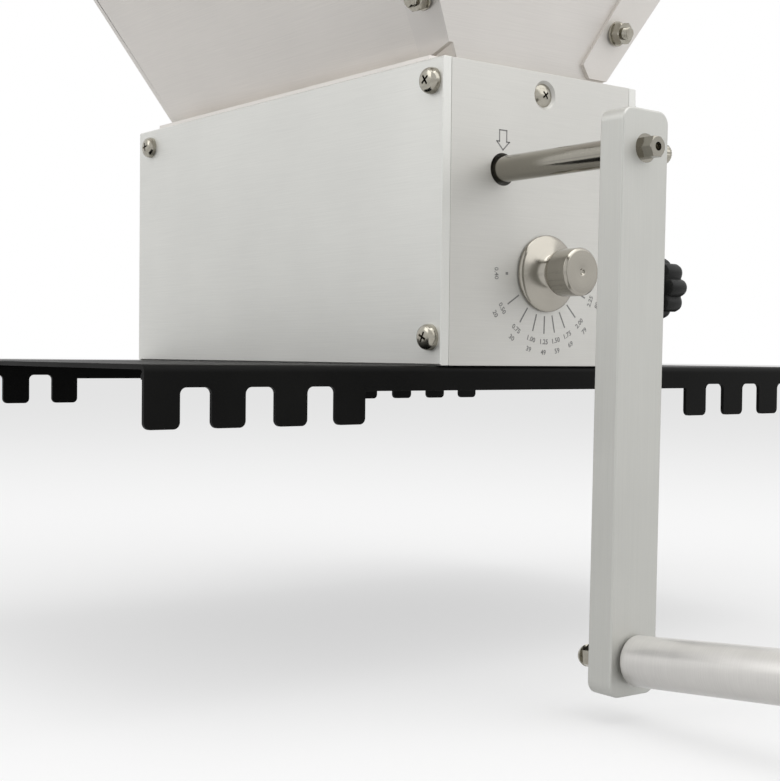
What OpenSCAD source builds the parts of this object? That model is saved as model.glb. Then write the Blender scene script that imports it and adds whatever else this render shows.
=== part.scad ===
// Hand-cranked three-roller grain mill with a sheet-metal hopper, on a plate that lies
// across the rim of a bucket. Millimetres, +Z up, +X out of the crank face.
// The origin is the middle of the seat plane: the plane of the lower edges of the base
// plate's flanges, which rest on the rim.

/* [Body] */
// Length of the body, along the rollers
body_l = 289; // [275:1:305]
// Depth of the body, across the rollers
body_d = 124; // [122:0.5:132]
// Height of the body above the base plate
body_h = 137.6; // [136:0.2:144]
// Thickness of the end plates that carry the rollers
end_plate_t = 15; // [14:0.5:17]
// Thickness of the cover over the left end plate
end_cover_t = 7.5; // [7:0.5:9]
// Thickness of the front and back covers
cover_t = 5; // [4:0.5:6]
// Break along the covers' outer edges
cover_break = 0.8; // [0.4:0.1:1.5]
// Distance of the upper screws from the body's top edge
upper_screw_drop = 10.4; // [9:0.1:12]
// Distance of the lower screws from the body's bottom edge
lower_screw_rise = 12.7; // [11.5:0.1:14]
// Distance of the end cover's screws above and below the cover screws' rows
end_screw_step = 14; // [12:0.5:18]
// Distance of the base screws from the middle plane
base_screw_y = 28; // [24:0.5:32]

/* [Base plate] */
// Length of the base plate, across the rollers
base_l = 416; // [400:1:440]
// Thickness of the base plate's sheet
base_t = 2; // [1.5:0.1:2.5]
// Outer bend radius of the flanges
base_bend_r = 3; // [2.6:0.1:4]
// Depth of the flanges' plain middle band, from the plate's top
band_h = 11.1; // [10.5:0.1:14]
// Width of a comb tooth
tooth_w = 15.6; // [13:0.1:17]
// Width of the slot between two teeth
slot_w = 14.2; // [12:0.1:16]
// Teeth at each end of a flange
tooth_count = 4; // [3:1:4]
// Depth of the tooth tips, from the plate's top
tooth_depth = 25.3; // [22:0.1:30]
// Depth of the slots' closed ends, from the plate's top
slot_depth = 9; // [7.5:0.1:10]
// Corner radius of the teeth
tooth_r = 2.8; // [1:0.1:4]
// Inset of the discharge opening from the chamber's ends
outlet_inset = 4; // [3:0.5:8]
// Depth of the discharge opening, across the rollers
outlet_d = 90; // [70:1:100]

/* [Rollers] */
// Roller diameter
roller_d = 50.8; // [49:0.1:51.4]
// Gap between the two upper rollers
feed_gap = 1.2; // [0.8:0.1:1.6]
// Milling gap at the eccentric's middle position
mid_gap = 3.6; // [3.4:0.1:3.8]
// Throw of the eccentric that moves the lower roller
throw = 2.2; // [1.6:0.1:2.2]
// Turn of the eccentric at rest, from where the milling gap is narrowest
rest_turn = 45; // [30:1:60]
// Offset of the eccentric's axis towards the back cover
adjuster_y = 2; // [1.6:0.1:2.2]
// Height of the upper rollers' axes above the base plate
upper_axis_h = 90.2; // [89:0.1:91]
// Gap between a roller's end face and the end plate
roller_end_gap = 2.25; // [1.5:0.05:3]
// Depth of the turned recess in a roller's end faces
roller_recess = 3; // [2:0.5:5]

/* [Shafts and bearings] */
// Diameter of the drive shaft and the idle shaft
shaft_d = 12; // [11.5:0.1:12.5]
// Outer diameter of the ball bearings
bearing_od = 28; // [27.5:0.1:29]
// Width of the ball bearings
bearing_w = 8; // [7.5:0.5:9]
// Ball diameter
ball_d = 4.7; // [4.4:0.1:4.8]
// Balls in a bearing
ball_count = 8; // [6:1:9]
// Hole in the crank face round the drive shaft
shaft_hole_d = 15; // [14:0.5:17]
// Diameter of the adjuster's journals
journal_d = 14; // [13:0.1:15]
// Diameter of the adjuster's eccentric middle
eccentric_d = 20; // [19.6:0.1:21]
// Wall of the bronze bushes
bush_wall = 3; // [2.5:0.1:3.5]
// Length of the lower roller's bushes
roller_bush_l = 20; // [12:1:30]

/* [Crank] */
// Distance from the crank face to the arm
arm_reach = 74.2; // [60:0.2:90]
// Thickness of the crank arm
arm_t = 13; // [12:0.5:15]
// Width of the crank arm
arm_w = 27; // [25:0.5:32]
// Distance from the drive axis to the handle axis
crank_r = 210.5; // [180:0.5:230]
// Height of the arm above the drive axis
arm_top = 16.1; // [14:0.1:18]
// Depth of the arm below the handle axis
arm_bottom = 14.6; // [13:0.1:18]
// Corner radius of the arm
arm_corner_r = 5.5; // [2:0.5:8]
// Width across the flats of the shaft's hexagonal end
hex_af = 8.2; // [7.8:0.1:10]
// Length of the shaft's hexagonal end, beyond the arm
hex_l = 6.8; // [6:0.2:20]
// Diameter of the centre hole in the shaft's end
centre_hole_d = 3.6; // [2:0.1:4]
// Turn of the crank at rest, from hanging straight down
crank_lean = 0.8; // [0:0.1:2]
// Diameter of the handle grip
handle_d = 21; // [20:0.5:26]
// Length of the handle grip
handle_l = 105; // [90:1:125]
// Tilt of the handle away from the drive axis
handle_tilt = 5.5; // [0:0.5:6]
// Diameter of the handle's spindle
spindle_d = 10; // [9:0.5:11]

/* [Gap adjuster] */
// Diameter of the knob's rim
knob_rim_d = 36; // [32:0.5:38]
// Diameter of the knob's neck
knob_neck_d = 16; // [14:0.1:17]
// Diameter of the knob's grip
knob_grip_d = 22.2; // [20:0.1:24]
// Distance of the neck from the crank face
knob_neck_x = 8; // [7:0.5:9]
// Length of the knob
knob_l = 24.2; // [23:0.2:28]
// Diameter of the adjuster's end inside the knob
knob_stub_d = 9; // [8:0.5:9]

/* [Lock] */
// Diameter of the star knob over its lobes
star_d = 31; // [29:0.5:36]
// Thickness of the star knob's head
star_t = 12; // [11:0.5:16]
// Diameter of the star knob's hub
star_hub_d = 16; // [14:0.5:18]
// Length of the star knob's hub
star_hub_l = 9; // [8:0.5:14]
// Lobes on the star knob
star_lobes = 8; // [6:1:9]
// Distance from the back cover to the star knob's hub
star_reach = 12; // [8:0.5:20]
// Diameter of the lock stud
stud_d = 8; // [7.5:0.1:8.5]
// Distance of the lock stud below the adjuster's axis
stud_drop = 3.3; // [2.5:0.1:3.5]

/* [Hopper] */
// Height of the hopper
hopper_h = 175; // [160:1:200]
// Thickness of the hopper's sheet
sheet_t = 2; // [1.5:0.1:2]
// Lean of the two end walls from upright
end_lean = 16.1; // [12:0.1:18]
// Lean of the front and back walls from upright
side_lean = 30.8; // [26:0.1:33]
// Inner depth of the hopper at its foot
foot_d = 86.9; // [84:0.1:88]
// Distance from an end plate's inner face to the hopper's end wall
foot_step = 1.85; // [1.5:0.05:2.2]
// Offset of the hopper towards the crank, from the chamber's middle
hopper_shift_x = 1.3; // [0.8:0.1:1.6]
// Offset of the hopper towards the back cover
hopper_shift = 0.5; // [0:0.1:0.8]
// Width of the foot lips on the front and back walls
side_lip = 15; // [14:0.1:15.2]
// Width of the rim lips
rim_lip = 8; // [6:0.5:12]
// Width of the end walls' laps over the front and back walls, at the foot
side_lap = 22; // [20:0.5:28]
// Width of the front and back walls' laps over the end walls, at the foot
end_lap = 20.5; // [20:0.5:24]
// Growth of the laps' width per millimetre of height
lap_growth = 0.1; // [0:0.01:0.12]
// Height of the end walls' laps' free lower corners above the hopper's foot
side_lap_rise = 3; // [2.6:0.1:5]
// Height of those laps' lower ends at the fold
side_fold_rise = 8.5; // [6:0.5:12]
// Height of the other laps' lower ends above the hopper's foot
end_lap_rise = 3; // [2.6:0.1:5]
// Cut across the lower corner of those laps
end_lap_cut = 8.5; // [7:0.5:10]
// Distance of the corner bolts from the fold, on the front and back walls
side_bolt_inset = 11; // [10:0.1:12]
// Distance of the corner bolts from the fold, on the end walls
end_bolt_inset = 13.5; // [12:0.1:14]
// Height of the lowest corner bolts above the hopper's foot, on the front and back walls
side_bolt_rise = 27.6; // [24:0.2:32]
// Height of the lowest corner bolts above the hopper's foot, on the end walls
end_bolt_rise = 25.4; // [24:0.2:32]
// Corner bolts in each corner
bolt_count = 3; // [2:1:4]

/* [Inner frame] */
// Thickness of the top frame
top_frame_t = 4; // [3.5:0.1:5]
// Width of the top frame's end bars
top_bar_w = 6; // [5:0.5:8]
// Depth of the lugs under the top frame
lug_h = 13; // [12.6:0.1:13.4]
// Width of the lugs under the top frame
lug_w = 24; // [20:0.5:26]
// Thickness of the lugs under the top frame
lug_t = 10; // [9:0.5:12]
// Thickness of the grain guides
guide_t = 1.5; // [1:0.1:1.6]
// Distance of the grain guides' tips from the middle plane
guide_tip_y = 17; // [14:0.5:18]
// Height of the grain guides' tips above the rollers' tops
guide_tip_rise = 1.3; // [1.2:0.1:2]

/* [Fasteners] */
// Thread diameter of the cover and base screws, the corner bolts and the handle
screw_d = 6; // [5.6:0.1:6.2]
// Head diameter of the pan-head screws
pan_head_d = 12; // [11:0.1:12.4]
// Head height of the pan-head screws
pan_head_h = 4.6; // [4:0.1:5]
// Thread diameter of the crank's clamp screw
crank_screw_d = 5; // [4.8:0.1:5.2]
// Head diameter of the crank's clamp screw
crank_head_d = 9.2; // [8.5:0.1:9.6]
// Depth of the body screws in the metal
screw_bite = 14; // [10:0.5:15]
// Thread diameter of the end plates' countersunk screws
frame_screw_d = 6; // [5.5:0.1:6.2]
// Head diameter of the end plates' countersunk screws
frame_head_d = 11; // [10.6:0.1:11.4]
// Depth of their heads' rims below the face
frame_head_sink = 1.3; // [1:0.1:1.5]
// Thread diameter of the small screws
small_screw_d = 3; // [2.6:0.1:3.2]
// Head diameter of the small screws
small_head_d = 5.6; // [5.4:0.1:5.8]
// Width across the flats of the nuts
nut_af = 10; // [9.6:0.1:10]
// Thickness of the nuts
nut_t = 4.8; // [4:0.1:5.2]
// Height of the domed cap nut on the handle's thread
cap_nut_h = 12; // [11:0.2:12.4]
// Outer diameter of the washers
washer_d = 12; // [11.6:0.1:12.4]
// Thickness of the washers
washer_t = 1.2; // [1:0.1:1.6]

/* [Clearances] */
// Radial clearance of a shaft that turns in its bush
running = 0.05; // [0.03:0.01:0.08]
// Radial clearance of a round piece that is fixed in its hole
seat = 0.02; // [0.01:0.01:0.04]
// Clearance of a screw in a plain hole
screw_clear = 0.25; // [0.2:0.05:0.4]
// Gap between moving faces
face_gap = 0.3; // [0.2:0.05:0.5]
// Gap between two lapped sheets
seam = 0.05; // [0.03:0.01:0.1]

/* [Hidden] */
$fn = 64;

// Body: faces of the plates and covers.
bottom_z = band_h;
top_z = bottom_z + body_h;
right_x = body_l / 2;
left_x = -body_l / 2;
right_in_x = right_x - end_plate_t;
left_plate_x = left_x + end_cover_t;
left_in_x = left_plate_x + end_plate_t;
chamber_x = (right_in_x + left_in_x) / 2;
chamber_l = right_in_x - left_in_x;
front_y = -body_d / 2;
inner_y = body_d / 2 - cover_t;
right_screw_x = right_x - end_plate_t / 2;
left_screw_x = left_plate_x + end_plate_t / 2;
upper_screw_z = top_z - upper_screw_drop;
lower_screw_z = bottom_z + lower_screw_rise;
base_screw_xs = [left_screw_x, right_in_x + screw_d / 2 + 2.5];
tap_depth = 11;

// Roller axes. The lower roller mills against the drive roller, on the -Y side.
axis_y = (roller_d + feed_gap) / 2;
upper_z = bottom_z + upper_axis_h;
lower_drop = sqrt(pow(roller_d + mid_gap, 2) - pow(axis_y + adjuster_y, 2));
adjuster_z = upper_z - lower_drop;
throw_angle = atan2(lower_drop, -axis_y - adjuster_y) + rest_turn;
lower_y = adjuster_y + throw * cos(throw_angle);
lower_z = adjuster_z + throw * sin(throw_angle);
roller_l = chamber_l - 2 * roller_end_gap;
roller_r = roller_d / 2;

// Bearings, bushes and shaft ends.
race_t = (bearing_od - shaft_d) / 4 - ball_d / 2 - seat;
ball_r = (bearing_od + shaft_d) / 4;
shield_t = 0.6;
shaft_left_x = left_plate_x + 0.5;
bush_od = journal_d + 2 * bush_wall;
roller_bush_od = eccentric_d + 2 * bush_wall;

// Crank.
arm_x = right_x + arm_reach;
arm_face_x = arm_x + arm_t;
handle_z = upper_z - crank_r;
grip_start = handle_d / 2 * tan(handle_tilt) + face_gap;
grip_end = grip_start + handle_l;
grip_recess = 8;
grip_recess_d = spindle_d + 7;
spindle_root = 1.5;
spindle_head_t = 3;
handle_seat = 0.8 - arm_t;
cap_nut_z = handle_seat - washer_t - nut_t;

// Star lock.
stud_z = adjuster_z - stud_drop;
stud_tip_r = stud_d / 2 - 1;
journal_edge = adjuster_y + sqrt(pow(journal_d / 2, 2) - pow(stud_drop - stud_tip_r, 2));
star_y = body_d / 2 + star_reach + star_hub_l;

// Hopper: h is the height above its foot, ax and ay are its inner half sizes there.
foot_l = chamber_l + 2 * foot_step;
end_sheet = sheet_t / cos(end_lean);
side_sheet = sheet_t / cos(side_lean);
lap_top = hopper_h - sheet_t - 3;
bolt_grip = 2 * sheet_t + seam;
bolt_end = washer_t + nut_t + 3;
function ax(h) = foot_l / 2 + tan(end_lean) * h;
function ay(h) = foot_d / 2 + tan(side_lean) * h;
function bolt_heights(rise) = [for (i = [0:bolt_count - 1]) rise + i * (lap_top - 2 * rise) / (bolt_count - 1)];

// Small screws of the hopper's foot and the grain guides.
side_screw_y = foot_d / 2 + side_sheet + small_head_d / 2 + 2.7;
side_screw_xs = [-chamber_l * 0.36, 0, chamber_l * 0.36];
guide_leg = 6;
guide_screw_xs = [-chamber_l * 0.4, chamber_l * 0.4];
frame_z = top_z - top_frame_t;

steel = "lightsteelblue";
satin = "gainsboro";
bronze = "darkgoldenrod";
black = [0.12, 0.12, 0.12];

// ---- Shared shapes ----

// A solid turned about Z from a profile of [radius, height] points.
module turned(profile) {
    rotate_extrude()
        polygon(profile);
}

// Children turned so that their Z points along +X, +Y or -Y.
module along_x() rotate([0, 90, 0]) children();
module along_y() rotate([-90, 0, 0]) children();
module against_y() rotate([90, 0, 0]) children();

// A ring about X, from x0 to x1.
module ring_x(x0, x1, outer_r, inner_r) {
    translate([x0, 0, 0])
        along_x()
            difference() {
                cylinder(r = outer_r, h = x1 - x0);
                translate([0, 0, -1])
                    cylinder(r = inner_r, h = x1 - x0 + 2);
            }
}

// A rod about X, from x0 to x1.
module rod_x(x0, x1, r) {
    translate([x0, 0, 0])
        along_x()
            cylinder(r = r, h = x1 - x0);
}

// A box between two opposite corners.
module box(low, high) {
    translate(low)
        cube(high - low);
}

// A loft between two rectangles [x_min, x_max, y_min, y_max] given by a function of height.
module loft(h0, h1, rect) {
    corners = [[0, 2], [1, 2], [1, 3], [0, 3]];
    polyhedron(
        points = [for (h = [h0, h1]) for (c = corners) [rect(h)[c[0]], rect(h)[c[1]], h]],
        faces = [[0, 1, 2, 3], [7, 6, 5, 4], [0, 4, 5, 1], [1, 5, 6, 2], [2, 6, 7, 3], [3, 7, 4, 0]]
    );
}

// A loft whose lower end is slanted: it starts at low_h at x_min and at high_h at x_max.
module slanted_loft(low_h, high_h, h1, rect) {
    corners = [[0, 2], [1, 2], [1, 3], [0, 3]];
    polyhedron(
        points = [for (end = [0, 1]) for (c = corners) let (h = end == 1 ? h1 : c[0] == 0 ? low_h : high_h)
            [rect(h)[c[0]], rect(h)[c[1]], h]],
        faces = [[0, 1, 2, 3], [7, 6, 5, 4], [0, 4, 5, 1], [1, 5, 6, 2], [2, 6, 7, 3], [3, 7, 4, 0]]
    );
}

// Profile points of a dome of radius r and height h, from its rim to its top.
function dome(r, h, steps = 6) =
    let (big = (r * r + h * h) / (2 * h), span = asin(min(1, r / big)))
    [for (i = [0:steps]) let (a = span * (1 - i / steps)) [big * sin(a), big * cos(a) - big + h]];

// Cross recess, sunk from z = 0.
module cross_recess(size, depth) {
    for (turn = [0, 90])
        rotate(turn)
            translate([-size / 2, -size / 9, -depth])
                cube([size, size / 4.5, depth + 1]);
}

// Pan-head screw: the head stands on z = 0 and the shank hangs down.
module pan_screw(d, head_d, head_h, length) {
    difference() {
        union() {
            turned(concat([[0, 0]], [for (p = dome(head_d / 2, head_h * 0.45)) [p[0], p[1] + head_h * 0.55]],
                [[0, 0]]));
            cylinder(d = head_d, h = head_h * 0.55);
            translate([0, 0, -length])
                cylinder(d = d, h = length + 0.1);
        }
        translate([0, 0, head_h])
            cross_recess(head_d * 0.55, head_h * 0.6);
    }
}

// Countersunk screw: its head's rim lies at z = 0, with a low dome of the given rise.
module csk_screw(d, head_d, length, rise) {
    sink = (head_d - d) / 2;
    difference() {
        union() {
            turned(concat([[0, -length], [d / 2, -length], [d / 2, -sink], [head_d / 2, 0]],
                dome(head_d / 2, rise)));
        }
        translate([0, 0, rise])
            cross_recess(head_d * 0.5, head_d * 0.17);
    }
}

// The cut that a countersunk screw needs, opened by its clearance.
module csk_hole(d, head_d, length) {
    sink = (head_d - d) / 2;
    turned([[0, -length], [d / 2 + seat, -length], [d / 2 + seat, -sink - seat], [head_d / 2 + seat, 0],
        [head_d / 2 + seat, 1], [0, 1]]);
}

// Button-head screw with a hexagon socket: the head stands on z = 0.
module button_screw(d, head_d, head_h, length) {
    difference() {
        turned(concat([[0, -length], [d / 2, -length], [d / 2, 0]], dome(head_d / 2, head_h)));
        translate([0, 0, head_h * 0.3])
            cylinder(d = d * 0.66, h = head_h, $fn = 6);
    }
}

// ---- Places ----

module at_upper_axis(side) translate([0, side * axis_y, upper_z]) children();
module at_adjuster_axis() translate([0, adjuster_y, adjuster_z]) children();
module at_lower_axis() translate([0, lower_y, lower_z]) children();

// Children turned about the drive axis by the crank's angle at rest.
module turned_crank() {
    translate([0, -axis_y, upper_z])
        rotate([-crank_lean, 0, 0])
            translate([0, axis_y, -upper_z])
                children();
}

// Handle: the origin is on the arm's outer face and Z runs along the tilted handle.
module at_handle() {
    translate([arm_face_x, -axis_y, handle_z])
        rotate([0, 90 - handle_tilt, 0])
            children();
}

module at_hopper() translate([chamber_x + hopper_shift_x, hopper_shift, top_z]) children();

// Corner bolts: the origin is on the lap's outer face and Z points outwards.
module at_side_lap_bolts() {
    for (h = bolt_heights(side_bolt_rise))
        translate([ax(h) + end_sheet - side_bolt_inset, -ay(h) - 2 * side_sheet - seam, h])
            rotate([90 + side_lean, 0, 0])
                children();
}

module at_end_lap_bolts() {
    for (h = bolt_heights(end_bolt_rise))
        translate([ax(h) + 2 * end_sheet + seam, ay(h) + side_sheet - end_bolt_inset, h])
            rotate([0, 90 + end_lean, 0])
                children();
}

module at_corner_bolts() {
    at_hopper()
        for (turn = [0, 180])
            rotate(turn) {
                at_side_lap_bolts() children();
                at_end_lap_bolts() children();
            }
}

// Foot screws of the hopper's front and back walls, on the lips' upper faces.
module at_side_foot_screws(side) {
    at_hopper()
        for (x = side_screw_xs)
            translate([x, side * side_screw_y, sheet_t])
                children();
}

module at_guide_screws(side) {
    for (x = guide_screw_xs)
        translate([chamber_x + x, hopper_shift + side * (foot_d / 2 + guide_leg / 2 + 0.2), top_z - 0.3])
            children();
}

// Cover screws: the front has none at its lower left corner.
module at_front_cover_screws() {
    for (p = [[right_screw_x, upper_screw_z], [right_screw_x, lower_screw_z], [left_screw_x, upper_screw_z]])
        translate([p[0], front_y, p[1]])
            against_y()
                children();
}

module at_back_cover_screws() {
    for (x = [left_screw_x, right_screw_x])
        for (z = [lower_screw_z, upper_screw_z])
            translate([x, -front_y, z])
                along_y()
                    children();
}

module at_end_cover_screws() {
    for (side = [-1, 1])
        for (z = [lower_screw_z + end_screw_step, upper_screw_z - end_screw_step])
            translate([left_x, side * (inner_y - 9), z])
                rotate([0, -90, 0])
                    children();
}

module at_base_screws() {
    for (x = base_screw_xs)
        for (side = [-1, 1])
            translate([x, side * base_screw_y, bottom_z - base_t])
                rotate([180, 0, 0])
                    children();
}

// ---- Frame ----

// Teeth and band of one flange, drawn in Y and depth below the plate's top.
module flange_outline() {
    pitch = tooth_w + slot_w;
    comb_l = tooth_count * pitch - slot_w;
    difference() {
        union() {
            translate([-base_l / 2 + comb_l - tooth_w, -band_h])
                square([base_l - 2 * (comb_l - tooth_w), band_h]);
            for (side = [-1, 1])
                translate([side * (base_l - comb_l) / 2, 0])
                    rounded_rect(comb_l, tooth_depth, tooth_r);
        }
        for (side = [-1, 1])
            for (i = [0:tooth_count - 2])
                translate([side * (base_l / 2 - tooth_w - slot_w / 2 - i * pitch), -slot_depth])
                    slot_outline();
    }
}

// One slot, open at the bottom, with rounded upper corners and flared mouth corners.
module slot_outline() {
    depth = tooth_depth - slot_depth + 1;
    translate([-slot_w / 2, -depth])
        square([slot_w, depth - tooth_r]);
    translate([-slot_w / 2 + tooth_r, -tooth_r - 0.01])
        square([slot_w - 2 * tooth_r, tooth_r + 0.01]);
    for (side = [-1, 1])
        translate([side * (slot_w / 2 - tooth_r), -tooth_r])
            circle(r = tooth_r);
    for (side = [-1, 1])
        translate([side * slot_w / 2, 0])
            difference() {
                translate([side * tooth_r / 2, slot_depth - tooth_depth + tooth_r / 2 - 0.5])
                    square([tooth_r, tooth_r + 1], center = true);
                translate([side * tooth_r, slot_depth - tooth_depth + tooth_r])
                    circle(r = tooth_r);
            }
}

// A rectangle hanging from y = 0, centred in x, with rounded lower corners.
module rounded_rect(width, depth, r) {
    translate([-width / 2, r - depth])
        square([width, depth - r]);
    translate([-width / 2 + r, -depth])
        square([width - 2 * r, r + 0.01]);
    for (side = [-1, 1])
        translate([side * (width / 2 - r), r - depth])
            circle(r = r);
}

// The folded sheet's cross section across its width, with bent edges and long legs.
module base_section() {
    half = body_l / 2;
    difference() {
        union() {
            translate([-half + base_bend_r, -base_t])
                square([body_l - 2 * base_bend_r, base_t]);
            for (side = [-1, 1]) {
                translate([side * (half - base_bend_r), -base_bend_r])
                    circle(r = base_bend_r);
                translate([side * (half - base_t / 2), -(tooth_depth + base_bend_r) / 2])
                    square([base_t, tooth_depth - base_bend_r], center = true);
            }
        }
        for (side = [-1, 1]) {
            translate([side * (half - base_bend_r), -base_bend_r])
                circle(r = base_bend_r - base_t);
            translate([side * (half - base_bend_r - base_t / 2 - 5), -base_bend_r - 5])
                square([base_t + 10, 10], center = true);
            translate([side * (half - base_bend_r - 5), -base_t - 5])
                square([10, 10], center = true);
        }
    }
}

module base_plate() {
    color(black)
        difference() {
            translate([0, 0, bottom_z])
                intersection() {
                    translate([0, base_l / 2, 0])
                        rotate([90, 0, 0])
                            linear_extrude(base_l)
                                base_section();
                    union() {
                        rotate([90, 0, 90])
                            translate([0, 0, -body_l / 2 - 1])
                                linear_extrude(body_l + 2)
                                    flange_outline();
                        box([-body_l / 2 + base_bend_r, -base_l / 2, -base_t], [body_l / 2 - base_bend_r, base_l / 2, 0]);
                    }
                }
            box([left_in_x + outlet_inset, -outlet_d / 2, bottom_z - base_t - 1],
                [right_in_x - outlet_inset, outlet_d / 2, bottom_z + 1]);
            at_base_screws()
                translate([0, 0, -base_t - 1])
                    cylinder(d = screw_d + 2 * screw_clear, h = base_t + 2);
        }
}

// Screw holes shared by both end plates.
module end_plate_cuts() {
    at_front_cover_screws()
        translate([0, 0, -cover_t - screw_bite - 1])
            cylinder(r = screw_d / 2 + seat, h = cover_t + screw_bite + 2);
    at_back_cover_screws()
        translate([0, 0, -cover_t - screw_bite - 1])
            cylinder(r = screw_d / 2 + seat, h = cover_t + screw_bite + 2);
    at_base_screws()
        translate([0, 0, -base_t - screw_bite + 1])
            cylinder(r = screw_d / 2 + seat, h = screw_bite + base_t);
}

module end_plate_right() {
    color(satin)
        difference() {
            box([right_in_x, -inner_y, bottom_z], [right_x, inner_y, top_z]);
            for (side = [-1, 1])
                at_upper_axis(side)
                    rod_x(right_in_x - 1, right_in_x + bearing_w, bearing_od / 2 + seat);
            at_upper_axis(-1)
                rod_x(right_in_x, right_x + 1, shaft_hole_d / 2);
            at_adjuster_axis()
                rod_x(right_in_x - 1, right_x + 1, bush_od / 2 + seat);
            translate([right_x, 0, upper_screw_z])
                along_x()
                    csk_hole(frame_screw_d, frame_head_d + 2 * frame_head_sink, end_plate_t + 1);
            translate([right_screw_x, 0, stud_z])
                along_y()
                    cylinder(r = stud_d / 2 + running, h = inner_y + 1);
            end_plate_cuts();
        }
}

module end_plate_left() {
    color(satin)
        difference() {
            box([left_plate_x, -inner_y, bottom_z], [left_in_x, inner_y, top_z]);
            for (side = [-1, 1])
                at_upper_axis(side) {
                    rod_x(left_plate_x - 1, left_plate_x + bearing_w, bearing_od / 2 + seat);
                    rod_x(left_plate_x, left_in_x + 1, bearing_od / 2 - 3);
                }
            at_adjuster_axis()
                rod_x(left_plate_x - 1, left_in_x + 1, bush_od / 2 + seat);
            translate([left_plate_x, 0, upper_screw_z])
                rotate([0, -90, 0])
                    csk_hole(frame_screw_d, frame_head_d + 2 * frame_head_sink, end_plate_t + 1);
            at_end_cover_screws()
                translate([0, 0, -end_cover_t - tap_depth + 1])
                    cylinder(r = screw_d / 2 + seat, h = tap_depth);
            end_plate_cuts();
        }
}

module end_cover_left() {
    color(satin)
        difference() {
            box([left_x, -inner_y, bottom_z], [left_plate_x, inner_y, top_z]);
            at_end_cover_screws()
                csk_hole(screw_d, pan_head_d, end_cover_t + 1);
        }
}

// A long cover with its outer edges broken; side is -1 at the front and 1 at the back.
module long_cover(side) {
    outer_y = side * body_d / 2;
    translate([left_x, 0, 0])
        rotate([90, 0, 90])
            linear_extrude(body_l)
                polygon([
                    [side * inner_y, bottom_z], [outer_y - side * cover_break, bottom_z],
                    [outer_y, bottom_z + cover_break], [outer_y, top_z - cover_break],
                    [outer_y - side * cover_break, top_z], [side * inner_y, top_z]
                ]);
}

module front_cover() {
    color(satin)
        difference() {
            long_cover(-1);
            at_front_cover_screws()
                translate([0, 0, -cover_t - 1])
                    cylinder(d = screw_d + 2 * screw_clear, h = cover_t + 2);
        }
}

module back_cover() {
    color(satin)
        difference() {
            long_cover(1);
            at_back_cover_screws()
                translate([0, 0, -cover_t - 1])
                    cylinder(d = screw_d + 2 * screw_clear, h = cover_t + 2);
            translate([right_screw_x, 0, stud_z])
                along_y()
                    cylinder(d = stud_d + 1, h = body_d);
        }
}

// A ring under the hopper, with a screwed lug under each end bar.
module top_frame() {
    color(satin)
        difference() {
            union() {
                box([left_in_x, -inner_y, frame_z], [right_in_x, inner_y, top_z]);
                box([left_in_x, -lug_w / 2, frame_z - lug_h], [left_in_x + lug_t, lug_w / 2, frame_z + 0.1]);
                box([right_in_x - lug_t, -lug_w / 2, frame_z - lug_h], [right_in_x, lug_w / 2, frame_z + 0.1]);
            }
            box([left_in_x + top_bar_w, hopper_shift - foot_d / 2, frame_z],
                [right_in_x - top_bar_w, hopper_shift + foot_d / 2, top_z + 1]);
            translate([left_in_x - 1, 0, upper_screw_z])
                along_x()
                    cylinder(r = frame_screw_d / 2 + seat, h = chamber_l + 2);
            for (side = [-1, 1]) {
                at_side_foot_screws(side)
                    translate([0, 0, -sheet_t - top_frame_t - 1])
                        cylinder(r = small_screw_d / 2 + seat, h = top_frame_t + 3);
                at_guide_screws(side)
                    csk_hole(small_screw_d, small_head_d, top_frame_t + 1);
            }
        }
}

// Two bent sheets that lead the grain from the top frame to the nip of the upper rollers.
module grain_guides() {
    tip_z = upper_z + roller_r + guide_tip_rise;
    for (side = [-1, 1]) {
        edge = foot_d / 2 + side * hopper_shift;
        slope = atan2(frame_z - tip_z, edge - guide_tip_y);
        drop = guide_t / cos(slope);
        color(steel)
            difference() {
                translate([left_in_x + face_gap, 0, 0])
                    rotate([90, 0, 90])
                        linear_extrude(chamber_l - 2 * face_gap)
                            polygon([
                                [side * (edge + guide_leg), frame_z], [side * edge, frame_z],
                                [side * guide_tip_y, tip_z], [side * guide_tip_y, tip_z - drop],
                                [side * edge, frame_z - drop], [side * (edge + guide_leg), frame_z - guide_t]
                            ]);
                at_guide_screws(side)
                    translate([0, 0, -top_frame_t - guide_t - 3])
                        cylinder(r = small_screw_d / 2 + seat, h = guide_t + 4);
            }
    }
}

module guide_screws() {
    color(steel)
        for (side = [-1, 1])
            at_guide_screws(side)
                csk_screw(small_screw_d, small_head_d, top_frame_t + guide_t + 1, 0.2);
}

module front_cover_screws() {
    color(steel)
        at_front_cover_screws()
            pan_screw(screw_d, pan_head_d, pan_head_h, cover_t + screw_bite);
}

module back_cover_screws() {
    color(steel)
        at_back_cover_screws()
            pan_screw(screw_d, pan_head_d, pan_head_h, cover_t + screw_bite);
}

// Raised countersunk screws through the end plates into the top frame's lugs.
module end_plate_screws() {
    length = end_plate_t + lug_t - 1;
    color(steel) {
        translate([right_x - frame_head_sink, 0, upper_screw_z])
            along_x()
                csk_screw(frame_screw_d, frame_head_d, length, 2);
        translate([left_plate_x + frame_head_sink, 0, upper_screw_z])
            rotate([0, -90, 0])
                csk_screw(frame_screw_d, frame_head_d, length, 0.3);
    }
}

module end_cover_screws() {
    color(steel)
        at_end_cover_screws()
            csk_screw(screw_d, pan_head_d, end_cover_t + tap_depth - 2, 0.3);
}

module base_screws() {
    color(steel)
        at_base_screws()
            button_screw(screw_d, pan_head_d, 3.3, base_t + screw_bite - 2);
}

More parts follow.
